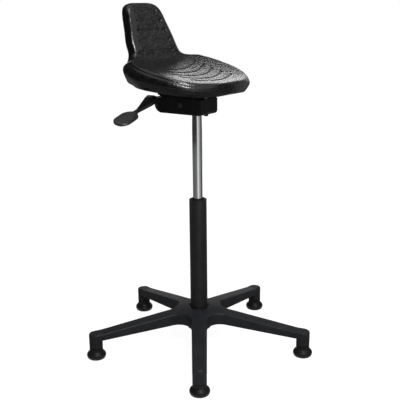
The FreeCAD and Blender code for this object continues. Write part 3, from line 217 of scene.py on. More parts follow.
class Effects:
    """Shader groups that several finishes share, each built once."""

    def __init__(self) -> None:
        """Build every group."""
        self.grain = self._grain()
        self.mottle = self._mottle()
        self.edge_wear = self._edge_wear()
        self.dust = self._dust()
        self.tool_marks = self._tool_marks()
        self.rubs = self._rubs()

    @staticmethod
    def _open(name: str, inputs: dict[str, float], outputs: tuple[str, ...]) -> tuple:
        """Start a group with number sockets.

        Args:
            name: Name of the group.
            inputs: Names and default values of its inputs.
            outputs: Names of its outputs.

        Returns:
            The group, its graph, the values it is given and the sockets it gives out.
        """
        group = bpy.data.node_groups.new(name, "ShaderNodeTree")
        sockets = group.interface
        for label, value in inputs.items():
            sockets.new_socket(label, in_out=Side.INPUT.value,
                               socket_type=NUMBER_SOCKET).default_value = value
        for label in outputs:
            sockets.new_socket(label, in_out=Side.OUTPUT.value, socket_type=NUMBER_SOCKET)
        given, out = (group.nodes.new("NodeGroup" + end) for end in ("Input", "Output"))
        return group, Graph(group), given.outputs, out.inputs

    def _grain(self) -> Tree:
        """Pebbled mould grain: rounded cells with fine noise between them, size in metres.

        Returns:
            The group.
        """
        group, g, given, out = self._open("mould grain", {"Size": 0.001, "Evenness": 0.6},
                                          ("Height", "Cell"))
        cells = g.maths("DIVIDE", 1.0, given["Size"])
        pebble = g.add("TexVoronoi", {"Vector": g.place(), "Scale": cells, "Smoothness": 0.35,
                                      "Randomness": 0.9}, feature="SMOOTH_F1").outputs
        even = g.times(g.minus(1.0, pebble["Distance"]), given["Evenness"])
        rest = g.times(g.noise(g.place(), cells, 2.0), g.minus(1.0, given["Evenness"]))
        g.feed(out["Height"], g.plus(even, rest))
        g.feed(out["Cell"], g.add("SeparateColor", {0: pebble["Color"]}).outputs[0])
        return group

    def _mottle(self) -> Tree:
        """Uneven tone of a large surface: broad clouds with finer ones in them, about 0.5.

        Returns:
            The group.
        """
        group, g, given, out = self._open("mottle", {"Size": 0.05}, ("Tone", "Fine"))
        cells = g.maths("DIVIDE", 1.0, given["Size"])
        broad = g.noise(g.place(), cells, 3.0, 0.6)
        fine = g.noise(g.place(), g.times(cells, 7.0), 4.0, 0.65)
        mixed = g.plus(g.times(broad, 0.65), g.times(fine, 0.35))
        g.feed(out["Tone"], g.spread(mixed, 0.32, 0.68))
        g.feed(out["Fine"], fine)
        return group

    def _edge_wear(self) -> Tree:
        """Rubbed edges: where a rounded normal leaves the surface's own, broken by noise.

        Returns:
            The group.
        """
        group, g, given, out = self._open("edge wear", {"Reach": 0.001, "Breakup": 0.5}, ("Mask",))
        rounded = g.add("Bevel", {"Radius": given["Reach"]}, samples=4).outputs[0]
        turned = g.add("VectorMath", {0: rounded, 1: g.facing()}, operation="DOT_PRODUCT")
        edge = g.spread(turned.outputs["Value"], 0.995, 0.86)
        clouds = g.spread(g.noise(g.place(), 85.0, 5.0, 0.7), 0.36, 0.62)
        patchy = g.plus(g.minus(1.0, given["Breakup"]), g.times(clouds, given["Breakup"]))
        g.feed(out["Mask"], g.maths("MULTIPLY", edge, patchy, clamp=True))
        return group

    def _dust(self) -> Tree:
        """Dust on faces that look up: the normal's rise, thinned by clouds.

        Returns:
            The group.
        """
        group, g, given, out = self._open("settled dust", {"Amount": 0.3}, ("Mask",))
        upward = g.spread(g.rise(g.facing()), 0.45, 0.98)
        clouds = g.spread(g.noise(g.place(), 38.0, 6.0, 0.7), 0.38, 0.7)
        speck = g.spread(g.noise(g.place(), 900.0, 2.0), 0.45, 0.72)
        veil = g.times(upward, clouds, g.plus(0.5, g.times(speck, 0.5)))
        g.feed(out["Mask"], g.maths("MULTIPLY", veil, given["Amount"], clamp=True))
        return group

    def _tool_marks(self) -> Tree:
        """Fine turned or drawn lines round the upright axis, with slower bands in them.

        Returns:
            The group.
        """
        group, g, given, out = self._open("tool marks", {"Lines": 4000.0, "Bands": 60.0},
                                          ("Height", "Band"))
        lines, bands = (g.add("CombineXYZ", {2: g.times(g.rise(g.place()), given[name])}).outputs[0]
                        for name in ("Lines", "Bands"))
        g.feed(out["Height"], g.noise(lines, 1.0, 1.0))
        g.feed(out["Band"], g.spread(g.noise(bands, 1.0, 3.0), 0.3, 0.7))
        return group

    def _rubs(self) -> Tree:
        """Short scuffs in many directions: thin ridges of two stretched noises.

        Returns:
            The group.
        """
        group, g, given, out = self._open("rub marks", {"Amount": 0.5}, ("Mask",))
        ridges = []
        for scale, width in (((420.0, 36.0, 160.0), 0.008), ((40.0, 380.0, 120.0), 0.007)):
            level = g.minus(g.noise(g.stretched(scale), 1.0, 2.0), 0.5)
            ridges.append(g.spread(g.maths("ABSOLUTE", level), width, 0.0))
        where = g.spread(g.noise(g.place(), 24.0, 4.0, 0.6), 0.52, 0.7)
        marks = g.times(g.maths("MAXIMUM", *ridges), where)
        g.feed(out["Mask"], g.maths("MULTIPLY", marks, given["Amount"], clamp=True))
        return group


# ---------------- finishes

@dataclass(frozen=True)
class Finish:
    """What every finish shares: base colour and its variation, gloss and the relief's depth."""

    name: str
    colour: Triple
    roughness: float
    vary: float = 0.25
    specular: float = 0.3
    metallic: float = 0.0
    depth: float = 0.00005

    def material(self, fx: Effects) -> Material:
        """Build the material.

        Args:
            fx: The shared effects.

        Returns:
            The material.
        """
        material = bpy.data.materials.new(self.name)
        g = open_graph(material)
        colour, rough, height = self.paint(g, fx)
        relief = g.add("Bump", {"Strength": 1.0, "Distance": self.depth, "Height": height})
        g.show(g.add("BsdfPrincipled", {
            "Base Color": colour, "Roughness": rough, "Normal": relief.outputs[0],
            "Metallic": self.metallic, "Specular IOR Level": self.specular}))
        return material

    def paint(self, g: Graph, fx: Effects) -> tuple[Socket, Socket, Socket]:
        """Mix what the shader is fed, in each kind of finish its own way.

        Args:
            g: The material's graph.
            fx: The shared effects.

        Returns:
            Colour, roughness and the relief's height, 0 to 1.
        """
        raise NotImplementedError(self.name)

    def shade(self, share: float) -> Triple:
        """Return the base colour times a share, at most white."""
        return tuple(min(1.0, c * share) for c in self.colour)

    def toned(self, g: Graph, share: object) -> Socket:
        """Return the base colour from its darkest at share 0 to its lightest at 1."""
        return g.blend(share, self.shade(1.0 - self.vary), self.shade(1.0 + self.vary))


@dataclass(frozen=True)
class MouldedPlastic(Finish):
    """Injection-moulded plastic: spark-eroded grain, pale rubbed edges, scuffs and dust."""

    depth: float = 0.00006
    grain_size: float = 0.0012
    wear: float = 0.25
    dust: float = 0.25
    worn_colour: Triple = (0.12, 0.12, 0.12)
    dust_colour: Triple = (0.16, 0.155, 0.15)

    def paint(self, g: Graph, fx: Effects) -> tuple[Socket, Socket, Socket]:
        """Pale rubs and dust over the tone; the grain is pressed flat where it is scuffed.

        Args:
            g: The material's graph.
            fx: The shared effects.

        Returns:
            Colour, roughness and height.
        """
        mottle = g.effect(fx.mottle, Size=0.06)
        grain = g.effect(fx.grain, Size=self.grain_size, Evenness=0.55)["Height"]
        edge = g.effect(fx.edge_wear, Reach=0.0012, Breakup=0.8)["Mask"]
        scuff = g.effect(fx.rubs, Amount=self.wear)["Mask"]
        dust = g.effect(fx.dust, Amount=self.dust)["Mask"]
        rubbed = g.maths("MAXIMUM", g.times(edge, self.wear), g.times(scuff, 0.6))
        colour = g.layers(self.toned(g, mottle["Tone"]), (rubbed, self.worn_colour),
                          (dust, self.dust_colour))
        rough = g.spread(mottle["Fine"], 0.3, 0.7, self.roughness - 0.05, self.roughness + 0.06)
        rough = g.plus(rough, g.times(dust, 0.3))
        return (colour, g.minus(rough, g.times(edge, 0.08), clamp=True),
                g.minus(grain, g.times(scuff, 0.5)))


@dataclass(frozen=True)
class PowderCoat(Finish):
    """Powder coat on steel: orange peel, fine speckle, chipped edges."""

    peel_size: float = 0.0022
    chips: float = 0.35
    speckle_colour: Triple = (0.1, 0.1, 0.1)
    chip_colour: Triple = (0.17, 0.165, 0.16)
    dust_colour: Triple = (0.15, 0.145, 0.14)

    def paint(self, g: Graph, fx: Effects) -> tuple[Socket, Socket, Socket]:
        """Speckle, pale chips and dust over the tone; the peel is the relief.

        Args:
            g: The material's graph.
            fx: The shared effects.

        Returns:
            Colour, roughness and height.
        """
        mottle = g.effect(fx.mottle, Size=0.04)
        peel = g.effect(fx.grain, Size=self.peel_size, Evenness=0.3)["Height"]
        edge = g.effect(fx.edge_wear, Reach=0.0006, Breakup=1.0)["Mask"]
        dust = g.effect(fx.dust, Amount=0.05)["Mask"]
        speckle = g.spread(g.noise(g.place(), 2600.0, 1.0), 0.58, 0.72)
        colour = g.layers(self.toned(g, mottle["Tone"]),
                          (g.times(speckle, 0.12), self.speckle_colour),
                          (g.times(edge, self.chips), self.chip_colour), (dust, self.dust_colour))
        rough = g.spread(mottle["Fine"], 0.25, 0.75, self.roughness - 0.06, self.roughness + 0.08)
        return colour, rough, peel


@dataclass(frozen=True)
class BareMetal(Finish):
    """Plated, ground or turned metal: tool marks, smudges and darker handled patches."""

    metallic: float = 1.0
    depth: float = 0.000002
    lines: float = 3500.0
    smudge: float = 0.08
    tarnish: Triple = (0.2, 0.19, 0.18)
    stain: float = 0.15
    dust_colour: Triple = (0.2, 0.19, 0.18)

    def paint(self, g: Graph, fx: Effects) -> tuple[Socket, Socket, Socket]:
        """Stains, bright edges and dust over the tone; the tool marks are the relief.

        Args:
            g: The material's graph.
            fx: The shared effects.

        Returns:
            Colour, roughness and height.
        """
        mottle = g.effect(fx.mottle, Size=0.03)
        marks = g.effect(fx.tool_marks, Lines=self.lines, Bands=55.0)
        edge = g.effect(fx.edge_wear, Reach=0.0004, Breakup=0.6)["Mask"]
        dust = g.effect(fx.dust, Amount=0.15)["Mask"]
        dull = g.times(g.spread(mottle["Fine"], 0.5, 0.75), self.stain)
        colour = g.layers(self.toned(g, mottle["Tone"]), (dull, self.tarnish),
                          (g.times(edge, 0.25), self.shade(1.0 + self.vary)),
                          (dust, self.dust_colour))
        rough = g.spread(mottle["Tone"], 0.2, 0.9, self.roughness, self.roughness + self.smudge)
        rough = g.plus(rough, g.times(marks["Band"], self.smudge / 2))
        return colour, g.plus(rough, g.times(dust, 0.4), clamp=True), marks["Height"]


@dataclass(frozen=True)
class BentPly(Finish):
    """Beech plywood: long grain across the board and glued layers at its edge."""

    depth: float = 0.00012
    layer: float = 0.0014

    def paint(self, g: Graph, fx: Effects) -> tuple[Socket, Socket, Socket]:
        """Long fibres in the tone, and dark layers where the surface stands upright.

        Args:
            g: The material's graph.
            fx: The shared effects.

        Returns:
            Colour, roughness and height.
        """
        fibre = g.noise(g.stretched((35.0, 900.0, 900.0)), 1.0, 6.0, 0.7)
        cloud = g.effect(fx.mottle, Size=0.05)["Tone"]
        stripe = g.maths("FRACT", g.maths("DIVIDE", g.rise(g.place()), 2 * self.layer))
        dark_ply = g.spread(g.maths("ABSOLUTE", g.minus(stripe, 0.5)), 0.22, 0.28)
        flank = g.spread(g.maths("ABSOLUTE", g.rise(g.facing())), 0.5, 0.3)
        colour = g.layers(self.toned(g, g.spread(fibre, 0.3, 0.7)),
                          (g.times(cloud, 0.3), self.shade(0.7)),
                          (g.times(dark_ply, flank, 0.55), self.shade(0.45)))
        rough = g.spread(fibre, 0.2, 0.8, self.roughness + 0.1, self.roughness - 0.05)
        return colour, rough, fibre


@dataclass(frozen=True)
class FoamSkin(Finish):
    """Skin of self-skinning foam: pebbles that the mould pressed in, smoother at the sides."""

    depth: float = 0.0024
    pebble: float = 0.0062
    fine: float = 0.0011
    polish: float = 0.08
    patch_colour: Triple = (0.022, 0.022, 0.023)
    scuff_colour: Triple = (0.09, 0.09, 0.09)
    dust_colour: Triple = (0.14, 0.14, 0.135)

    def paint(self, g: Graph, fx: Effects) -> tuple[Socket, Socket, Socket]:
        """Painted shade darkens the grain's valleys, with lighter patches of pebbles; the mesh's
        "pebbled" attribute places the grain.

        Args:
            g: The material's graph.
            fx: The shared effects.

        Returns:
            Colour, roughness and height.
        """
        pebbled = g.add("Attribute", attribute_name="pebbled").outputs["Fac"]
        coarse = g.effect(fx.grain, Size=self.pebble, Evenness=0.75)
        fine = g.effect(fx.grain, Size=self.fine, Evenness=0.5)["Height"]
        mottle = g.effect(fx.mottle, Size=0.045)
        dust = g.effect(fx.dust, Amount=0.008)["Mask"]
        scuff = g.effect(fx.rubs, Amount=0.1)["Mask"]
        patch = g.times(g.spread(coarse["Cell"], 0.25, 0.8), pebbled)
        valley_shade_mask = g.times(g.spread(coarse["Height"], 0.6, 0.35), pebbled)
        # Painted shade: where the pebbles dip, the colour is darkened to 0.3 of the base.
        colour = g.layers(self.toned(g, mottle["Tone"]), (g.times(patch, 0.8), self.patch_colour),
                          (g.times(valley_shade_mask, 0.8), self.shade(0.3)),
                          (g.times(scuff, 0.5), self.scuff_colour), (dust, self.dust_colour))
        rough = g.spread(mottle["Fine"], 0.3, 0.7, self.roughness - self.polish / 2,
                         self.roughness + self.polish / 2)
        rough = g.plus(rough, g.times(pebbled, 0.16))
        height = g.plus(g.times(coarse["Height"], pebbled), g.times(fine, 0.06))
        return colour, g.plus(rough, g.times(valley_shade_mask, 0.12), clamp=True), height


FINISHES: dict[str, Finish] = {finish.name: finish for finish in (
    MouldedPlastic("base_nylon", (0.0125, 0.013, 0.0152), 0.45, specular=0.13, dust=0.005,
                   wear=0.1),
    MouldedPlastic("glide_plastic", (0.006, 0.006, 0.0065), 0.46, specular=0.14,
                   depth=0.00003, dust=0.04),
    PowderCoat("tube_paint", (0.006, 0.006, 0.0064), 0.38, specular=0.34),
    PowderCoat("mechanism_paint", (0.0045, 0.0045, 0.0047), 0.46, specular=0.17),
    PowderCoat("black_steel", (0.018, 0.018, 0.0185), 0.45, specular=0.35, depth=0.00002),
    BareMetal("chrome", (0.52, 0.525, 0.535), 0.1, vary=0.04, smudge=0.05),
    BareMetal("zinc_steel", (0.42, 0.42, 0.41), 0.3, vary=0.12, stain=0.4),
    BareMetal("bearing_steel", (0.5, 0.49, 0.48), 0.2, vary=0.08),
    MouldedPlastic("bush_plastic", (0.008, 0.008, 0.0085), 0.4, specular=0.25, grain_size=0.0007,
                   dust=0.05),
    MouldedPlastic("seal_rubber", (0.008, 0.008, 0.008), 0.6, specular=0.15, dust=0.05, wear=0.1),
    BareMetal("valve_brass", (0.55, 0.38, 0.14), 0.25, vary=0.12, tarnish=(0.16, 0.09, 0.03),
              stain=0.5),
    MouldedPlastic("lever_plastic", (0.018, 0.018, 0.0185), 0.3, specular=0.45, grain_size=0.0009,
                   dust=0.02),
    BentPly("plywood", (0.3, 0.22, 0.14), 0.55, vary=0.2),
    FoamSkin("cushion_skin", (0.0018, 0.0019, 0.0021), 0.18, specular=0.42))}


class Paintshop:
    """Builds each finish's material once and puts it on pieces."""

    def __init__(self) -> None:
        """Build the shared effects."""
        self.effects = Effects()
        self.ready: dict[str, Material] = {}

    def coat(self, thing: Thing, slot: str) -> None:
        """Give a piece or a CAD node the finish of a material slot.

        Args:
            thing: The object to dress.
            slot: Name of the finish, which is also the record's slot.
        """
        if slot not in self.ready:
            self.ready[slot] = FINISHES[slot].material(self.effects)
        slots = thing.data.materials
        slots.clear()
        slots.append(self.ready[slot])
        log.info("%s: %s, %d faces", thing.name, slot, len(thing.data.polygons))


class SubAssembly:
    """What every sub-assembly shares: a table from slots to CAD nodes that keep their form."""

    NODES: dict[str, str] = {}

    def dress(self, shop: Paintshop) -> None:
        """Dress the sub-assembly's pieces and nodes.

        Args:
            shop: Where the finishes come from.
        """
        for slot, nodes in self.NODES.items():
            for node in nodes.split():
                shop.coat(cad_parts[node], slot)


# ---------------- surfaces

def spline_through(places: Array, points: Array, wanted: Array) -> Array:
    """Natural cubic spline through points given at increasing places.

    The curvatures m solve h0*m0 + 2(h0 + h1)*m1 + h1*m2 = 6(slope1 - slope0) with zero at both
    ends; between two places the curve is the cubic that has those curvatures.

    Args:
        places: Parameter of each point, increasing.
        points: Values, first axis matching places.
        wanted: Parameters at which the curve is read.

    Returns:
        The curve's values at the wanted parameters, on the first axis.
    """
    shape = points.shape[1:]
    flat = points.reshape(len(places), -1).astype(float)
    gap = np.diff(places)
    inner = np.arange(1, len(places) - 1)
    system = np.eye(len(places))
    system[inner, inner - 1], system[inner, inner + 1] = gap[:-1], gap[1:]
    system[inner, inner] = 2 * (gap[:-1] + gap[1:])
    right = np.zeros_like(flat)
    right[1:-1] = 6 * np.diff(np.diff(flat, axis=0) / gap[:, None], axis=0)
    curvature = np.linalg.solve(system, right)
    at = np.clip(np.searchsorted(places, wanted, side="right") - 1, 0, len(gap) - 1)
    step = gap[at][:, None]
    up = (np.asarray(wanted) - places[at])[:, None] / step
    down = 1 - up
    curve = (down * flat[at] + up * flat[at + 1]
             + ((down ** 3 - down) * curvature[at] + (up ** 3 - up) * curvature[at + 1])
             * step ** 2 / 6)
    return curve.reshape(len(at), *shape)


def ramp(value: Array, start: float, end: float) -> Array:
    """Return how far a value has gone from start to end, as a share held between 0 and 1."""
    return np.clip((value - start) / (end - start), 0, 1)


def smooth_step(share: Array) -> Array:
    """Return 3s^2 - 2s^3 of a share that is held between 0 and 1."""
    share = np.clip(share, 0, 1)
    return share ** 2 * (3 - 2 * share)


def bell(distance: Array, width: float) -> Array:
    """Return exp(-(distance / width)^2)."""
    return np.exp(-(distance / width) ** 2)


def turned(first: Array, second: Array, angle: float) -> tuple[Array, Array]:
    """Turn two coordinates by an angle: (a cos t - b sin t, a sin t + b cos t)."""
    cos, sin = np.cos(angle), np.sin(angle)
    return first * cos - second * sin, first * sin + second * cos


def round_axis(reach: Array, rise: Array, angle: Array) -> Array:
    """Return the points (r cos a, r sin a, z), rows by angles by three."""
    return np.stack(np.broadcast_arrays(reach * np.cos(angle), reach * np.sin(angle), rise), -1)


def full_turn(steps: int) -> Array:
    """Return evenly spaced angles of a full turn, the end left out."""
    return np.linspace(0, 2 * math.pi, steps, endpoint=False)


def travelled(points: Array) -> Array:
    """Return the distance gone along a line of points, 0 at the first."""
    return np.concatenate([[0], np.cumsum(np.linalg.norm(np.diff(points, axis=0), axis=1))])


def normals_of(grid: Array) -> Array:
    """Unit normals of a grid of points, closed along its second axis.

    Args:
        grid: Points, rows by columns by three.

    Returns:
        Cross product of the two directions' central differences, made unit length.
    """
    along = np.gradient(grid, axis=0)
    around = np.roll(grid, -1, axis=1) - np.roll(grid, 1, axis=1)
    across = np.cross(along, around)
    return across / np.maximum(np.linalg.norm(across, axis=2, keepdims=True), 1e-12)


def ring_numbers(rows: int, columns: int, first: int = 0) -> Array:
    """Return the numbers of a grid's points, with its first column again after its last."""
    grid = first + np.arange(rows * columns).reshape(rows, columns)
    return np.concatenate([grid, grid[:, :1]], axis=1)


def strips(corner: Array) -> Array:
    """Return the four-cornered faces between neighbours in a grid of point numbers."""
    return np.stack([corner[:-1, :-1], corner[:-1, 1:], corner[1:, 1:], corner[1:, :-1]],
                    -1).reshape(-1, 4)


def linked(name: str, data: bpy.types.ID) -> Thing:
    """Make an object and link it to the scene.

    Args:
        name: Name of the object.
        data: Its mesh, lamp or camera.

    Returns:
        The object.
    """
    thing = bpy.data.objects.new(name, data)
    bpy.context.scene.collection.objects.link(thing)
    return thing


def mesh_object(name: str, points: Array, *blocks: Array) -> Thing:
    """Make a smooth shaded object of faces between points.

    Args:
        name: Name of the new object.
        points: Points in metres, count by three.
        *blocks: Blocks of faces, faces by corners, as numbers of points.

    Returns:
        The object, at the world origin.
    """
    mesh = bpy.data.meshes.new(name)
    mesh.from_pydata(points.tolist(), [], [face for block in blocks for face in block.tolist()])
    mesh.shade_smooth()
    mesh.validate()
    return linked(name, mesh)


def closed_skin(name: str, grid: Array, first: Array, last: Array) -> Thing:
    """Make a closed mesh from rings of points with a pole at each end.

    Args:
        name: Name of the new object.
        grid: Points in metres, rows by columns by three, each row a closed ring.
        first: The pole before the first row.
        last: The pole after the last row.

    Returns:
        The object, at the world origin, smooth shaded, faces outwards.
    """
    rows, columns = grid.shape[:2]
    corner = ring_numbers(rows, columns)
    quads, start = strips(corner), np.full(columns, rows * columns)
    caps = np.concatenate([np.stack([start, corner[0, 1:], corner[0, :-1]], -1),
                           np.stack([start + 1, corner[-1, :-1], corner[-1, 1:]], -1)])
    points = np.concatenate([grid.reshape(-1, 3), first[None], last[None]])
    a, b, c = points[quads[:, 0]], points[quads[:, 1]], points[quads[:, 2]]
    if np.einsum("ij,ij->", a, np.cross(b, c)) < 0:
        quads, caps = quads[:, ::-1], caps[:, ::-1]
    return mesh_object(name, points, quads, caps)


# ---------------- seat

@dataclass
class SeatMoulding(SubAssembly):
    """Seat and backrest in one moulded cushion, on its board, with grooves in both faces.

    The seat's own frame is (x, run, rise): run goes back from the pivot, rise up from it.
    """

    half_width: float = 188.0
    front_reach: float = 141.0
    bend_reach: float = 96.0
    front_band: float = 39.0
    waist_place: float = -0.54
    waist_pad: float = 34.0
    bend_pad: float = 49.5
    bend_radius: float = 48.0
    slope_step: float = 0.5
    dish: float = 13.5
    underside: float = 50.0
    nose_reach: float = 1.006
    back_lean: float = 28.0
    back_length: float = 147.0
    back_half_width: float = 100.0
    back_thick: float = 29.0
    back_dish: float = 5.0
    back_swell: float = 6.5
    back_swell_end: float = 0.15
    back_curl: float = 2.2
    back_edge: float = 0.97
    back_widest: float = 1.02
    back_belly: float = 0.37
    crown_rise: float = 1.6
    tilt: float = 7.5
    pivot_back: float = 26.0
    pivot_height: float = 710.0
    crease: float = 3.6
    crease_limit: float = 0.35
    shoulder: Pair = (0.26, 0.36)
    flank_knots: Row = (0.0, 0.37, 0.73, 1.0)
    flank_power: float = 1.25
    lip_depth: float = 1.1
    lip_drop: float = 3.4
    lip_width: float = 2.2
    rounding: int = 230
    rounding_columns: tuple[int, int] = (15, 9)
    rounding_headings: Pair = (0.5, 1.0)
    rounding_share: float = 0.5
    rows: int = 420
    top_columns: int = 70
    crease_columns: int = 9
    flank_columns: int = 22
    under_columns: int = 13
    groove_depth: float = 1.8
    groove_width: float = 4.0
    seat_grooves: Row = (-92.0, -60.0, -28.0, 4.0, 36.0)
    seat_groove_curve: float = 0.0030
    seat_groove_reach: float = 112.0
    seat_groove_widening: float = 0.12
    seat_groove_end: float = 14.0
    back_start: Pair = (-16.0, -6.0)
    back_grooves: Row = (0.0, 30.0, 59.0, 87.0, 116.0)
    back_groove_margin: float = 30.0
    back_groove_share: float = 0.45
    dimple_share: float = 1.15
    dimple_width: float = 5.0
    face_fade: Row = (0.9, 0.7, 0.5)
    crease_fade: float = 0.4
    smooth_margin: int = 13
    seat_grain: float = 0.55
    side_grain: float = 0.2
    groove_grain: Triple = (1.3, 0.5, 0.1)
    pole_grain: Pair = (0.0, 0.4)
    back_grain_heights: Pair = (95.0, 155.0)
    board_half_width: float = 115.0
    board_front: float = 86.0
    board_rear: float = 88.0
    board_corner: float = 34.0
    board_thick: float = 10.0
    board_clear: float = 0.3
    cutter_drop: float = 6.0
    cutter_step: float = 6.0
    sharp_angle: float = 40.0
    back_foot: Array | None = None

    NODES = {"plywood": "seat_board", "zinc_steel": "seat_screws screw_washers t_nuts"}
    # Cross-sections from the nose to the bend: place, half-width at the upper edge and at the
    # widest, dish, how much of the full height is there, belly and tuck, all as shares.
    SEAT = np.array([
        (-0.998, 0.06, 0.10, 0.0, 0.48, 0.37, 0.45), (-0.98, 0.155, 0.24, 0.0, 0.74, 0.37, 0.46),
        (-0.95, 0.245, 0.36, 0.0, 0.89, 0.37, 0.47), (-0.90, 0.36, 0.49, 0.0, 0.96, 0.37, 0.47),
        (-0.80, 0.535, 0.64, 0.06, 1.0, 0.37, 0.45), (-0.68, 0.675, 0.745, 0.22, 1.0, 0.37, 0.42),
        (-0.50, 0.785, 0.845, 0.52, 1.0, 0.37, 0.37), (-0.28, 0.865, 0.925, 0.82, 1.0, 0.37, 0.32),
        (0.0, 0.905, 0.98, 1.04, 1.0, 0.37, 0.27), (0.35, 0.915, 0.995, 1.10, 1.0, 0.36, 0.27),
        (0.65, 0.887, 0.978, 1.10, 1.0, 0.33, 0.36), (0.85, 0.85, 0.945, 1.06, 1.0, 0.28, 0.46)])
    # Round the bend: place as a share of its turn, then as above with the depth for the height.
    BEND = np.array([
        (0.0, 0.805, 0.912, 1.0, 1.02, 0.24, 0.53), (0.18, 0.755, 0.868, 0.85, 1.07, 0.22, 0.56),
        (0.37, 0.69, 0.775, 0.58, 1.04, 0.24, 0.54), (0.59, 0.605, 0.655, 0.38, 0.91, 0.30, 0.45),
        (0.79, 0.555, 0.588, 0.34, 0.68, 0.35, 0.40), (1.0, 0.527, 0.547, 0.33, 0.57, 0.37, 0.37)])
    # Up the backrest: place as a share of its length, half-width and thickness as shares.
    BACK = np.array([(0.2, 0.965, 0.98), (0.415, 0.89, 1.0), (0.6, 0.82, 1.0),
                     (0.787, 0.745, 0.98), (0.9, 0.645, 0.92), (0.965, 0.485, 0.78),
                     (0.995, 0.27, 0.5)])

    def pad_depth(self, run: Array) -> Array:
        """Depth of the pad on its centre line: two parabolas that meet at the waist.

        Args:
            run: Distances back from the pivot.

        Returns:
            The depth at each.
        """
        waist = self.waist_place * self.front_reach
        ahead = (waist - run) / (waist + self.front_reach)
        behind = (run - waist) / (self.bend_reach - waist)
        return self.waist_pad + np.where(run < waist,
                                         ahead ** 2 * (self.front_band - self.waist_pad),
                                         behind ** 2 * (self.bend_pad - self.waist_pad))

    def stations(self) -> Array:
        """Work out every cross-section.

        Returns:
            One row per section: run, rise, heading, upper and widest half-width, dish, depth,
            belly and tuck.
        """
        place, upper, widest, dish, full, belly, tuck = self.SEAT.T
        run = place * np.where(place < 0, self.front_reach, self.bend_reach)
        depth = self.pad_depth(run)
        shrink = depth * (1 - full) / 2
        flat = np.stack([run, self.underside + depth - shrink, 0 * run, upper * self.half_width,
                         widest * self.half_width, dish * self.dish, depth - 2 * shrink, belly,
                         tuck], -1)
        steps = np.array([-self.slope_step, 0.0, self.slope_step])
        before, pad, after = self.pad_depth(self.bend_reach + steps)
        slope = math.atan2(after - before, 2 * self.slope_step)
        place, upper, widest, dish, deep, belly, tuck = self.BEND.T
        heading = slope + place * (math.radians(90 - self.back_lean) - slope)
        middle = (self.bend_reach - self.bend_radius * math.sin(slope),
                  self.underside + pad + self.bend_radius * math.cos(slope))
        bend = np.stack([middle[0] + self.bend_radius * np.sin(heading),
                         middle[1] - self.bend_radius * np.cos(heading), heading,
                         upper * self.half_width, widest * self.half_width, dish * self.dish,
                         deep * self.bend_pad, belly, tuck], -1)
        self.back_foot = bend[-1, :3].copy()
        run, rise, lean = self.back_foot
        place, wide, deep = self.BACK.T
        trim = self.back_curl * self.back_thick * (1 - deep) / 2
        half = wide * self.back_half_width
        length = place * self.back_length
        back = np.stack([run + length * math.cos(lean) + trim * math.sin(lean),
                         rise + length * math.sin(lean) - trim * math.cos(lean),
                         0 * wide + lean, half * self.back_edge, half * self.back_widest,
                         self.back_dish * wide ** 2 * deep, self.back_thick * deep,
                         0 * wide + self.back_belly, 0 * wide + self.back_belly], -1)
        swell = self.back_swell * np.concatenate([
            0 * flat[:, 0], self.BEND[:, 0] ** 2,
            np.minimum(1, (1 - self.BACK[:, 0]) / self.back_swell_end)])
        table = np.concatenate([flat, bend, back])
        table[:, 0] -= swell * np.sin(table[:, 2])
        table[:, 1] += swell * np.cos(table[:, 2])
        table[:, 6] += swell
        return table

    def half_sections(self, stations: Array) -> Array:
        """Right halves of the sections, from the top's middle round to the underside's.

        The top is the parabola level = dish * s^2 over x = s * upper; the crease is the quadratic
        arc (1-t)^2 A + 2t(1-t) C + t^2 B that cuts its corner C; the flank is a spline through
        the edge, the belly, the shoulder and the foot; the underside is straight.

        Args:
            stations: The table that stations() gives.

        Returns:
            Offsets (x, level), sections by columns by two.
        """
        upper, widest, dish, depth, belly, tuck = stations.T[3:]
        height = dish + depth
        foot = widest - tuck * height
        inward, below = self.shoulder
        corners = np.stack([
            np.stack([upper, dish], -1), np.stack([widest, dish - belly * height], -1),
            np.stack([widest - inward * tuck * height, dish - (belly + below) * height], -1),
            np.stack([foot, -depth], -1)])
        s_cut = 1 - np.minimum(self.crease, self.crease_limit * upper) / upper
        s = np.linspace(0, 1, self.top_columns)[:, None] * s_cut
        top = np.stack([s * upper, dish * s ** 2], -1)
        t_cut = float(np.mean(self.crease / height))
        fine = t_cut + (1 - t_cut) * np.linspace(0, 1, self.flank_columns) ** self.flank_power
        flank = spline_through(np.array(self.flank_knots), corners, fine)
        drop = fine[:, None] * height - self.crease
        flank[..., 0] -= self.lip_depth * bell(drop - self.lip_drop, self.lip_width)
        t = np.linspace(0, 1, self.crease_columns)[1:-1, None, None]
        crease = (1 - t) ** 2 * top[-1] + 2 * t * (1 - t) * corners[0] + t ** 2 * flank[0]
        share = np.linspace(1, 0, self.under_columns)[1:, None]
        under = np.stack([share * foot, 0 * share - depth], -1)
        return np.concatenate([top, crease, flank, under]).transpose(1, 0, 2)

    def rings(self, stations: Array) -> Array:
        """Whole rings in the seat's own frame, each mirrored from its half.

        Up the back the edge is rounder: there each point near it moves repeatedly towards the
        middle of its two neighbours.

        Args:
            stations: The table that stations() gives.

        Returns:
            Points, sections by columns by three.
        """
        half = self.half_sections(stations)
        left = half[:, -2:0:-1] * np.array([-1, 1])
        ring = np.concatenate([half, left], axis=1)
        run, rise, heading = stations.T[:3, :, None]
        inner, outer = self.rounding_columns
        near = np.zeros(half.shape[1])
        near[self.top_columns - inner:self.top_columns + self.crease_columns + outer] = 1
        share = np.concatenate([near, near[-2:0:-1]])[None, :, None] * np.interp(
            heading, self.rounding_headings, [0.0, self.rounding_share])[..., None]
        for _ in range(self.rounding):
            ring = ring + share * ((np.roll(ring, 1, 1) + np.roll(ring, -1, 1)) / 2 - ring)
        return np.stack([ring[..., 0], run - ring[..., 1] * np.sin(heading),
                         rise + ring[..., 1] * np.cos(heading)], -1)

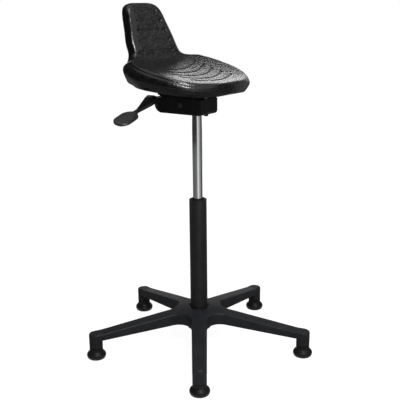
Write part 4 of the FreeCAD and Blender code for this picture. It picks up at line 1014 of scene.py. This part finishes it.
    def face_share(self, margin: int = 0) -> Array:
        """Share of the sitting face at each column: 1 on top, fading to 0 round the edge.

        Args:
            margin: How many columns inside the crease are left out of the face.

        Returns:
            One share for each column of a ring.
        """
        crease = np.linspace(self.crease_fade, 0.0, self.crease_columns - 2)
        half = np.concatenate([
            np.ones(self.top_columns - len(self.face_fade) - margin), self.face_fade, crease,
            np.zeros(margin + self.flank_columns + self.under_columns - 1)])
        return np.concatenate([half, half[-2:0:-1]])

    def groove_field(self, grid: Array) -> Array:
        """Depth of the grooves at each point.

        On the seat a groove follows run = start + curve * x^2 and ends where a smooth step of x
        runs out; on the back it is level, with a dimple at each end. Its profile is
        exp(-(distance / width)^2).

        Args:
            grid: Points in the seat's own frame.

        Returns:
            How far each point is pressed in, in millimetres.
        """
        x, run, rise = np.abs(grid[..., 0]), grid[..., 1], grid[..., 2]
        foot_run, foot_rise, lean = self.back_foot
        up = (run - foot_run) * math.cos(lean) + (rise - foot_rise) * math.sin(lean)
        on_back = ramp(up, *self.back_start)
        steep = np.hypot(1, 2 * self.seat_groove_curve * x)
        field = np.zeros_like(x)
        for start in self.seat_grooves:
            away = (run - start - self.seat_groove_curve * x ** 2) / steep
            reach = self.seat_groove_reach + self.seat_groove_widening * start
            ends = smooth_step((reach - x) / self.seat_groove_end)
            field += bell(away, self.groove_width) * ends * (1 - on_back)
        for level in self.back_grooves:
            wide = np.interp(level / self.back_length, *self.BACK.T[:2])
            past = x - (self.back_half_width * wide - self.back_groove_margin)
            away = np.hypot(up - level, np.maximum(past, 0))
            deep = self.back_groove_share + self.dimple_share * bell(past, self.dimple_width)
            field += bell(away, self.groove_width) * deep * on_back
        return field * self.groove_depth

    def surface(self) -> tuple[Array, Array, Array, Array]:
        """Loft the rings, press in the grooves and stand the seat on its pivot.

        Returns:
            The grid and its two poles, in metres in the world, and how far each point of the
            grid is pressed in, in millimetres.
        """
        stations = self.stations()
        rings = self.rings(stations)
        nose = np.array([0.0, -self.nose_reach * self.front_reach, float(rings[0, :, 2].mean())])
        lean = stations[-1, 2]
        crown = rings[-1].mean(axis=0) + np.array([0, math.cos(lean),
                                                   math.sin(lean)]) * self.crown_rise
        poles = [np.tile(pole, (1, rings.shape[1], 1)) for pole in (nose, crown)]
        rings = np.concatenate([poles[0], rings, poles[1]])
        rim = self.top_columns + self.crease_columns + self.flank_columns // 2
        places = travelled(rings[:, rim])
        grid = spline_through(places, rings, np.linspace(0, places[-1], self.rows + 2)[1:-1])
        normal = normals_of(grid)
        outward = np.sign(normal[self.rows // 2, 0, 2])
        pressed = self.groove_field(grid) * self.face_share()
        grid = grid - outward * normal * pressed[..., None]
        return self.stand(grid), self.stand(nose), self.stand(crown), pressed

    def stand(self, points: Array) -> Array:
        """Tilt points of the seat's own frame and lift them to the pivot, in metres."""
        run, rise = turned(points[..., 1], points[..., 2], math.radians(self.tilt))
        return np.stack([points[..., 0], self.pivot_back + run, self.pivot_height + rise],
                        -1) * MM

    def board_cutter(self) -> Thing:
        """Make the prism that cuts the board's recess.

        Returns:
            A straight-sided, round-cornered prism, a little larger than the board.
        """
        clear = self.board_clear
        half, corner = self.board_half_width + clear, self.board_corner + clear
        angle = np.radians(np.arange(0, 360, self.cutter_step)) + np.radians(self.cutter_step / 2)
        middle = np.where(np.sin(angle) > 0, self.board_rear + clear - corner,
                          corner - self.board_front - clear)
        side = np.stack([np.sign(np.cos(angle)) * (half - corner) + corner * np.cos(angle),
                         middle + corner * np.sin(angle)], -1)
        levels = (self.underside - self.cutter_drop, self.underside + self.board_thick + clear)
        rings = np.stack([np.insert(side, 2, level, axis=1) for level in levels])
        ends = [self.stand(np.array([0.0, 0.0, level])) for level in levels]
        return closed_skin("board_cutter", self.stand(rings), *ends)

    def build(self) -> Thing:
        """Make the cushion with the board's recess cut into its underside.

        Returns:
            The finished piece, before its finish.
        """
        grid, nose, crown, pressed = self.surface()
        piece = closed_skin("seat_cushion", grid, nose, crown)
        up = ramp(grid[..., 2] / MM - self.pivot_height, *self.back_grain_heights)
        face = self.face_share() + (self.face_share(self.smooth_margin) - self.face_share()) * up
        pebbled = face * (self.seat_grain + (1 - self.seat_grain) * up)
        pebbled = pebbled + (1 - face) * self.side_grain * (1 - up)
        most, less, least = self.groove_grain
        pebbled = (pebbled * np.clip(most - less * pressed, least, 1)).ravel()
        values = piece.data.attributes.new("pebbled", "FLOAT", "POINT")
        values.data.foreach_set("value", np.append(pebbled, self.pole_grain).astype(np.float32))
        cutter = self.board_cutter()
        cut = piece.modifiers.new("board recess", "BOOLEAN")
        cut.operation, cut.solver, cut.object = "DIFFERENCE", "EXACT", cutter
        bpy.context.view_layer.update()
        final = bpy.data.meshes.new_from_object(piece.evaluated_get(
            bpy.context.evaluated_depsgraph_get()))
        piece.modifiers.clear()
        piece.data = final
        final.name = "seat_cushion"
        bpy.data.objects.remove(cutter)
        final.set_sharp_from_angle(angle=math.radians(self.sharp_angle))
        return piece

    def dress(self, shop: Paintshop) -> None:
        """Build the cushion, dress it and its fastenings, and set what it rides on.

        Args:
            shop: Where the finishes come from.
        """
        piece = self.build()
        shop.coat(piece, "cushion_skin")
        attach(piece, "seat")
        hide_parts("seat_shell")
        super().dress(shop)


# ---------------- release lever

@dataclass
class LeverGrip(SubAssembly):
    """Moulded grip on the lever's steel arm: a tapering neck and a dished oval paddle.

    In its own frame the grip reaches out along -x, y goes to the rear and z up.
    """

    start: Triple = (-43.25, 106.0, 721.5)
    slope: float = 18.0
    roll: float = 10.0
    roll_reaches: Pair = (60.0, 100.0)
    root: float = 3.0
    root_front: float = 11.0
    root_rear: float = 32.0
    root_run: float = 34.0
    neck_reach: float = 76.0
    neck_half: float = 6.5
    middle: float = 7.0
    joint_softness: float = 3.0
    paddle_near: float = 92.0
    paddle_far: float = 167.5
    paddle_half: float = 27.0
    plan_power: float = 0.5
    side_power: float = 0.66
    thick: float = 9.0
    end_run: float = 4.0
    hood_rise: float = 11.0
    hood_run: float = 20.0
    dish: float = 2.4
    dish_run: float = 5.0
    dish_start: Pair = (4.0, 16.0)
    rim: float = 5.0
    ribs: Row = (112.0, 122.0, 132.0, 142.0, 152.0)
    rib_rise: float = 1.5
    rib_width: float = 2.0
    rib_end: Pair = (3.0, 6.0)
    rows: int = 190
    columns: int = 96

    NODES = {"black_steel": "lever_blade"}

    def outline(self, reach: Array) -> tuple[Array, Array]:
        """Front and rear edge of the plan at each reach.

        The neck narrows in a straight taper; the paddle is the long round of half-width
        sqrt(r^2 - d^2), with d the distance past its straight part; a soft maximum joins them.

        Args:
            reach: Distances from the root, in millimetres.

        Returns:
            The edges towards the front and the rear.
        """
        half, soft = self.paddle_half, self.joint_softness
        past = (np.maximum(self.paddle_near + half - reach, 0)
                + np.maximum(reach - self.paddle_far + half, 0))
        paddle = np.sqrt(np.clip(half ** 2 - past ** 2, 0, None))
        in_paddle = np.clip((reach - self.paddle_near - half) / half, 0, 1)
        edges = []
        for side, root, run in ((-1, self.root_front, self.root_run),
                                (1, self.root_rear, self.root)):
            end = side * self.middle + self.neck_half
            neck = root + (end - root) * ramp(reach, run, self.neck_reach)
            wide = side * self.middle + paddle
            joined = np.logaddexp(neck / soft, wide / soft) * soft
            edges.append(side * (joined * (1 - in_paddle) + wide * in_paddle))
        return edges[0], edges[1]

    def surface(self) -> tuple[Array, Array, Array]:
        """Sections of the superellipse |u|^4 + |w|^3 = 1 along the reach, dished on top.

        Returns:
            The grid and its two poles, in metres in the world.
        """
        near, far = self.root, self.paddle_far
        turn = np.linspace(0, math.pi, self.rows + 2)[1:-1]
        reach = near + (far - near) * (1 - np.cos(turn)) / 2
        ends = ramp(np.minimum(reach - near, far - reach), 0, self.end_run)
        swell = np.sqrt(1 - (1 - ends) ** 2)
        hood = self.hood_rise * ramp(-reach, -self.neck_reach, -self.hood_run)
        front, rear, reach, swell, hood = (row[:, None] for row in (
            *self.outline(reach), reach, swell, hood))
        cos, sin = np.cos(full_turn(self.columns)), np.sin(full_turn(self.columns))
        u = np.sign(cos) * np.abs(cos) ** self.plan_power
        w = np.sign(sin) * np.abs(sin) ** self.side_power
        y = (front + rear) / 2 + (rear - front) / 2 * u
        z = (self.thick / 2 + hood * (w > 0)) * swell * w
        edge = np.minimum(np.minimum(rear - y, y - front), far - reach) - self.rim
        dished = self.dish * smooth_step(edge / self.dish_run)
        rib = sum(bell(reach - at, self.rib_width) for at in self.ribs) * ramp(edge, *self.rib_end)
        on_paddle = ramp(reach - self.paddle_near, *self.dish_start)
        z = z - (dished - self.rib_rise * rib) * on_paddle * np.clip(w, 0, 1)
        y, z = turned(y, z, math.radians(self.roll) * ramp(reach, *self.roll_reaches))
        points = np.stack([-reach + 0 * y, y, z], -1)
        return (self.stand(points), self.stand(points[0].mean(axis=0)),
                self.stand(points[-1].mean(axis=0)))

    def stand(self, points: Array) -> Array:
        """Slope points down from the lever's root and carry them to the world, in metres."""
        x, z = turned(points[..., 0], points[..., 2], math.radians(self.slope))
        return (np.stack([x, points[..., 1], z], -1) + np.array(self.start)) * MM

    def dress(self, shop: Paintshop) -> None:
        """Build the grip, dress it and the steel arm, and set what it rides on.

        Args:
            shop: Where the finishes come from.
        """
        piece = closed_skin("grip_moulding", *self.surface())
        shop.coat(piece, "lever_plastic")
        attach(piece, "lever")
        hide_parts("lever_grip")
        super().dress(shop)


# ---------------- base, column, mechanism

@dataclass
class GlideCups(SubAssembly):
    """Turned glide cups: a full round rim, a cone above it and a neck up to the foot socket."""

    count: int = 5
    circle: float = 310.0
    floor_face: float = 10.0
    neck: float = 18.9
    neck_round: float = 0.4
    groove: Triple = (18.1, 27.9, 29.3)
    socket_height: float = 37.95
    socket_round: float = 0.6
    stem_radius: float = 5.56
    stem_low: float = 20.0
    rim_steps: int = 44
    columns: int = 96
    sharp_angle: float = 35.0

    # Outside of the cup from the floor up: radius and height.
    RIM = np.array([(20.5, 0.0), (22.4, 0.6), (25.3, 3.2), (26.9, 7.5), (27.2, 11.6), (26.0, 15.3),
                    (23.8, 18.2), (21.6, 20.6), (19.8, 23.0), (18.9, 25.4), (18.8, 27.5)])

    def profile(self) -> Array:
        """Half section: a spline round the rim, then straight up the neck and down the bore.

        Returns:
            Radius and height of each point.
        """
        places = travelled(self.RIM)
        rim = spline_through(places, self.RIM, np.linspace(0, places[-1], self.rim_steps))
        deep, low, high = self.groove
        top, cut, bore = self.socket_height, self.socket_round, self.stem_radius
        rest = [(deep, low), (deep, high), (self.neck, high + self.neck_round),
                (self.neck, top - cut), (self.neck - cut, top), (bore, top), (bore, self.stem_low)]
        return np.concatenate([[(self.floor_face, 0.0)], rim, rest])

    def build(self, number: int) -> Thing:
        """Turn the half section (r, z) round a cup's own axis: (cx + r cos a, cy + r sin a, z).

        Args:
            number: Which cup, from 0.

        Returns:
            The closed piece.
        """
        way = 2 * math.pi * number / self.count
        middle = np.array([self.circle * math.cos(way), self.circle * math.sin(way), 0.0])
        grid = round_axis(*self.profile().T[:, :, None], full_turn(self.columns)) + middle
        ends = [middle + np.array([0.0, 0.0, z]) for z in (0.0, self.stem_low)]
        piece = closed_skin(f"glide_cup_{number + 1}", grid * MM, *[end * MM for end in ends])
        piece.data.set_sharp_from_angle(angle=math.radians(self.sharp_angle))
        return piece

    def dress(self, shop: Paintshop) -> None:
        """Build the cups, dress them and set what they ride on.

        Args:
            shop: Where the finishes come from.
        """
        for number in range(self.count):
            piece = self.build(number)
            shop.coat(piece, "glide_plastic")
            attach(piece, "base")
            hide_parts(f"glide_{number + 1}")


class FiveArmBase(SubAssembly):
    """Moulded five-arm base and the outer tube that stands in its hub."""

    NODES = {"base_nylon": "base_star", "zinc_steel": "glide_stems stem_grip_rings",
             "tube_paint": "outer_tube hub_ring", "bush_plastic": "guide_bush",
             "bearing_steel": "thrust_washer_low"}


class GasColumn(SubAssembly):
    """Gas spring: piston rod and bearing below, chromed pressure tube above."""

    NODES = {"bearing_steel": "thrust_washer_high thrust_balls piston_rod release_pin",
             "bush_plastic": "ball_cage gas_piston rod_guide", "zinc_steel": "rod_washer rod_clip",
             "seal_rubber": "bump_stop rod_seal", "chrome": "pressure_tube",
             "valve_brass": "valve_body"}


class TiltMechanism(SubAssembly):
    """Pressed pan, its pin, spring and bolt, and the plate that carries the seat."""

    NODES = {"mechanism_paint": "mechanism_pan taper_socket seat_plate",
             "black_steel": "pivot_pin rear_tie_pin tension_bolt",
             "zinc_steel": "pivot_ring tension_washer tension_nut",
             "bush_plastic": "lever_bush pivot_bushes", "bearing_steel": "tilt_spring"}


# ---------------- studio

@dataclass
class SoftLamp:
    """A soft lamp that looks at a point, square unless it has a height of its own."""

    name: str
    place: Triple
    aim: Triple
    size: float
    power: float
    tall: float = 0.0
    spread: float = 180.0

    def build(self) -> None:
        """Hang the lamp."""
        data = bpy.data.lights.new(self.name, "AREA")
        data.shape, data.size, data.energy = "RECTANGLE", self.size, self.power
        data.size_y = self.tall or self.size
        data.spread = math.radians(self.spread)
        lamp = linked(self.name, data)
        lamp.location = self.place
        direction = Vector(self.aim) - Vector(self.place)
        lamp.rotation_euler = direction.to_track_quat("-Z", "Y").to_euler()
        log.info("lamp %s: %.2f W", self.name, self.power)


@dataclass
class Flag:
    """A curved studio flag round the object: it shades reflections and isn't seen itself."""

    name: str
    start: float
    end: float
    grey: float
    radii: Pair = (1.3, 1.3)
    heights: Pair = (0.02, 1.5)
    mottling: float = 0.1
    steps: tuple[int, int] = (8, 40)

    def build(self) -> None:
        """Hang the flag: points (r cos a, r sin a, z), r and z going from its foot to its head."""
        rows, columns = self.steps
        angle = np.radians(np.linspace(self.start, self.end, columns))
        reach, rise = (np.linspace(*ends, rows)[:, None] for ends in (self.radii, self.heights))
        wall = round_axis(reach, rise, angle)
        corner = np.arange(rows * columns).reshape(rows, columns)
        flag = mesh_object(self.name, wall.reshape(-1, 3), strips(corner.T))
        flag.visible_camera = flag.visible_diffuse = flag.visible_shadow = False
        material = bpy.data.materials.new(self.name)
        g = open_graph(material)
        cloth = g.blend(g.noise(g.place(), 5.0), (self.grey * (1 - self.mottling),) * 3,
                        (self.grey * (1 + self.mottling),) * 3)
        g.show(g.add("Emission", {"Color": cloth, "Strength": 1.0}))
        flag.data.materials.append(material)


@dataclass
class Studio:
    """Pale floor, even world light, soft lamps and the camera."""

    floor_radius: float = 9.0
    floor_rings: int = 12
    floor_steps: int = 96
    world_level: float = 0.5
    floor_glow: float = 0.92
    lens: float = 67.18
    sensor: float = 36.0
    clip: Pair = (0.05, 60.0)
    eye: Triple = (-1.656166, -1.210678, 0.978937)
    azimuth: float = 36.0
    pitch: float = 14.769
    roll: float = -0.624
    lamps: tuple[SoftLamp, ...] = (
        SoftLamp("key", (-1.65, -1.95, 2.8), (0.0, 0.0, 0.65), 0.8, 56.0, tall=0.4),
        SoftLamp("strip", (-1.7, -1.96, 2.4), (0.0, 0.1, 0.85), 0.28, 22.0, tall=0.5),
        SoftLamp("top", (-0.3, -0.6, 3.0), (0.0, 0.0, 0.7), 1.0, 18.0),
        SoftLamp("sheen", (2.6, 1.75, 1.65), (0.0, -0.05, 0.85), 0.9, 0.22, spread=30.0))
    flags: tuple[Flag, ...] = (
        Flag("low_flag_rear", 60.0, 172.0, 0.2, heights=(0.02, 0.36)),
        Flag("low_flag_left", 172.0, 212.0, 0.31, heights=(0.02, 0.36)),
        Flag("dark_flag", 60.0, 212.0, 0.045, heights=(0.36, 2.8)),
        Flag("grey_flag_right", 290.0, 358.0, 0.14),
        Flag("ground_flag", 0.0, 360.0, 0.2, (0.01, 1.28), (0.012, 0.012)),
        Flag("far_flag", -30.0, 75.0, 0.36, heights=(0.25, 0.92)),
        Flag("arm_flag", -10.0, 80.0, 0.1, (0.62, 0.62), (0.45, 0.8)),
        Flag("half_flag_right", 252.0, 290.0, 0.5),
        Flag("pale_card", 190.0, 242.0, 0.75, (0.3, 0.44), (0.014, 0.014)),
        Flag("roof_flag", -30.0, 60.0, 0.14, (1.3, 1.0), (1.27, 2.5)))

    @staticmethod
    def seen(g: Graph) -> Socket:
        """Mask of the rays that show the background: camera, glossy and transmission."""
        rays = g.add("LightPath").outputs
        return g.maths("MAXIMUM", g.maths("MAXIMUM", rays["Is Camera Ray"], rays["Is Glossy Ray"]),
                       rays["Is Transmission Ray"])

    def build_world(self) -> None:
        """White where it is seen, a plain level where it lights."""
        world = bpy.data.worlds.new("studio")
        g = open_graph(world)
        strength = g.plus(self.world_level, g.times(self.seen(g), 1.0 - self.world_level))
        g.show(g.add("Background", {"Color": (1.0, 1.0, 1.0), "Strength": strength}),
               "OutputWorld")
        bpy.context.scene.world = world

    def build_floor(self) -> None:
        """A flat disc of rings; its material glows where it is seen and keeps the shadow."""
        reach = self.floor_radius * np.linspace(0, 1, self.floor_rings + 1)[1:] ** 2
        rings = round_axis(reach[:, None], 0.0, full_turn(self.floor_steps))
        corner = ring_numbers(self.floor_rings, self.floor_steps, first=1)
        hub = np.stack([0 * corner[0, 1:], corner[0, :-1], corner[0, 1:]], -1)
        points = np.concatenate([[(0.0, 0.0, 0.0)], rings.reshape(-1, 3)])
        floor = mesh_object("floor", points, strips(corner.T), hub)
        material = bpy.data.materials.new("pale_floor")
        g = open_graph(material)
        pale = g.blend(g.noise(g.place(), 3.0, 4.0), (0.78, 0.78, 0.78), (0.82, 0.82, 0.82))
        matt = g.add("BsdfDiffuse", {"Color": g.blend(self.seen(g), pale, (0.2, 0.2, 0.2))})
        glow = g.add("Emission", {"Color": (1.0, 1.0, 1.0),
                                  "Strength": g.times(self.seen(g), self.floor_glow)})
        g.show(g.add("AddShader", {0: matt.outputs[0], 1: glow.outputs[0]}))
        floor.data.materials.append(material)

    def build_camera(self) -> None:
        """Stand the camera: forward looks down by the pitch, and the roll turns right and up."""
        azimuth, pitch, roll = (math.radians(a) for a in (self.azimuth, self.pitch, self.roll))
        level = Vector((math.cos(azimuth), math.sin(azimuth), 0))
        right = Vector((level.y, -level.x, 0))
        forward = level * math.cos(pitch) - Vector((0, 0, math.sin(pitch)))
        up = right.cross(forward)
        side = right * math.cos(roll) + up * math.sin(roll)
        top = up * math.cos(roll) - right * math.sin(roll)
        data = bpy.data.cameras.new("camera")
        data.lens, data.sensor_width, data.sensor_fit = self.lens, self.sensor, "HORIZONTAL"
        data.clip_start, data.clip_end = self.clip
        camera = linked("camera", data)
        turn = Matrix((side, top, -forward)).transposed()
        camera.matrix_world = Matrix.Translation(self.eye) @ turn.to_4x4()
        bpy.context.scene.camera = camera

    def build(self) -> None:
        """Set up the whole studio."""
        bpy.context.scene.view_settings.view_transform = "Standard"
        self.build_world()
        self.build_floor()
        for thing in (*self.flags, *self.lamps):
            thing.build()
        self.build_camera()


# ---------------- main


def main() -> None:
    """Build every sub-assembly in order and report it."""
    logging.basicConfig(level=logging.INFO, format="%(message)s")
    shop = Paintshop()
    for assembly in (FiveArmBase(), GlideCups(), GasColumn(), TiltMechanism(), LeverGrip(),
                     SeatMoulding()):
        assembly.dress(shop)
        log.info("%s done", type(assembly).__name__)
    Studio().build()


if __name__ == "__main__":
    main()
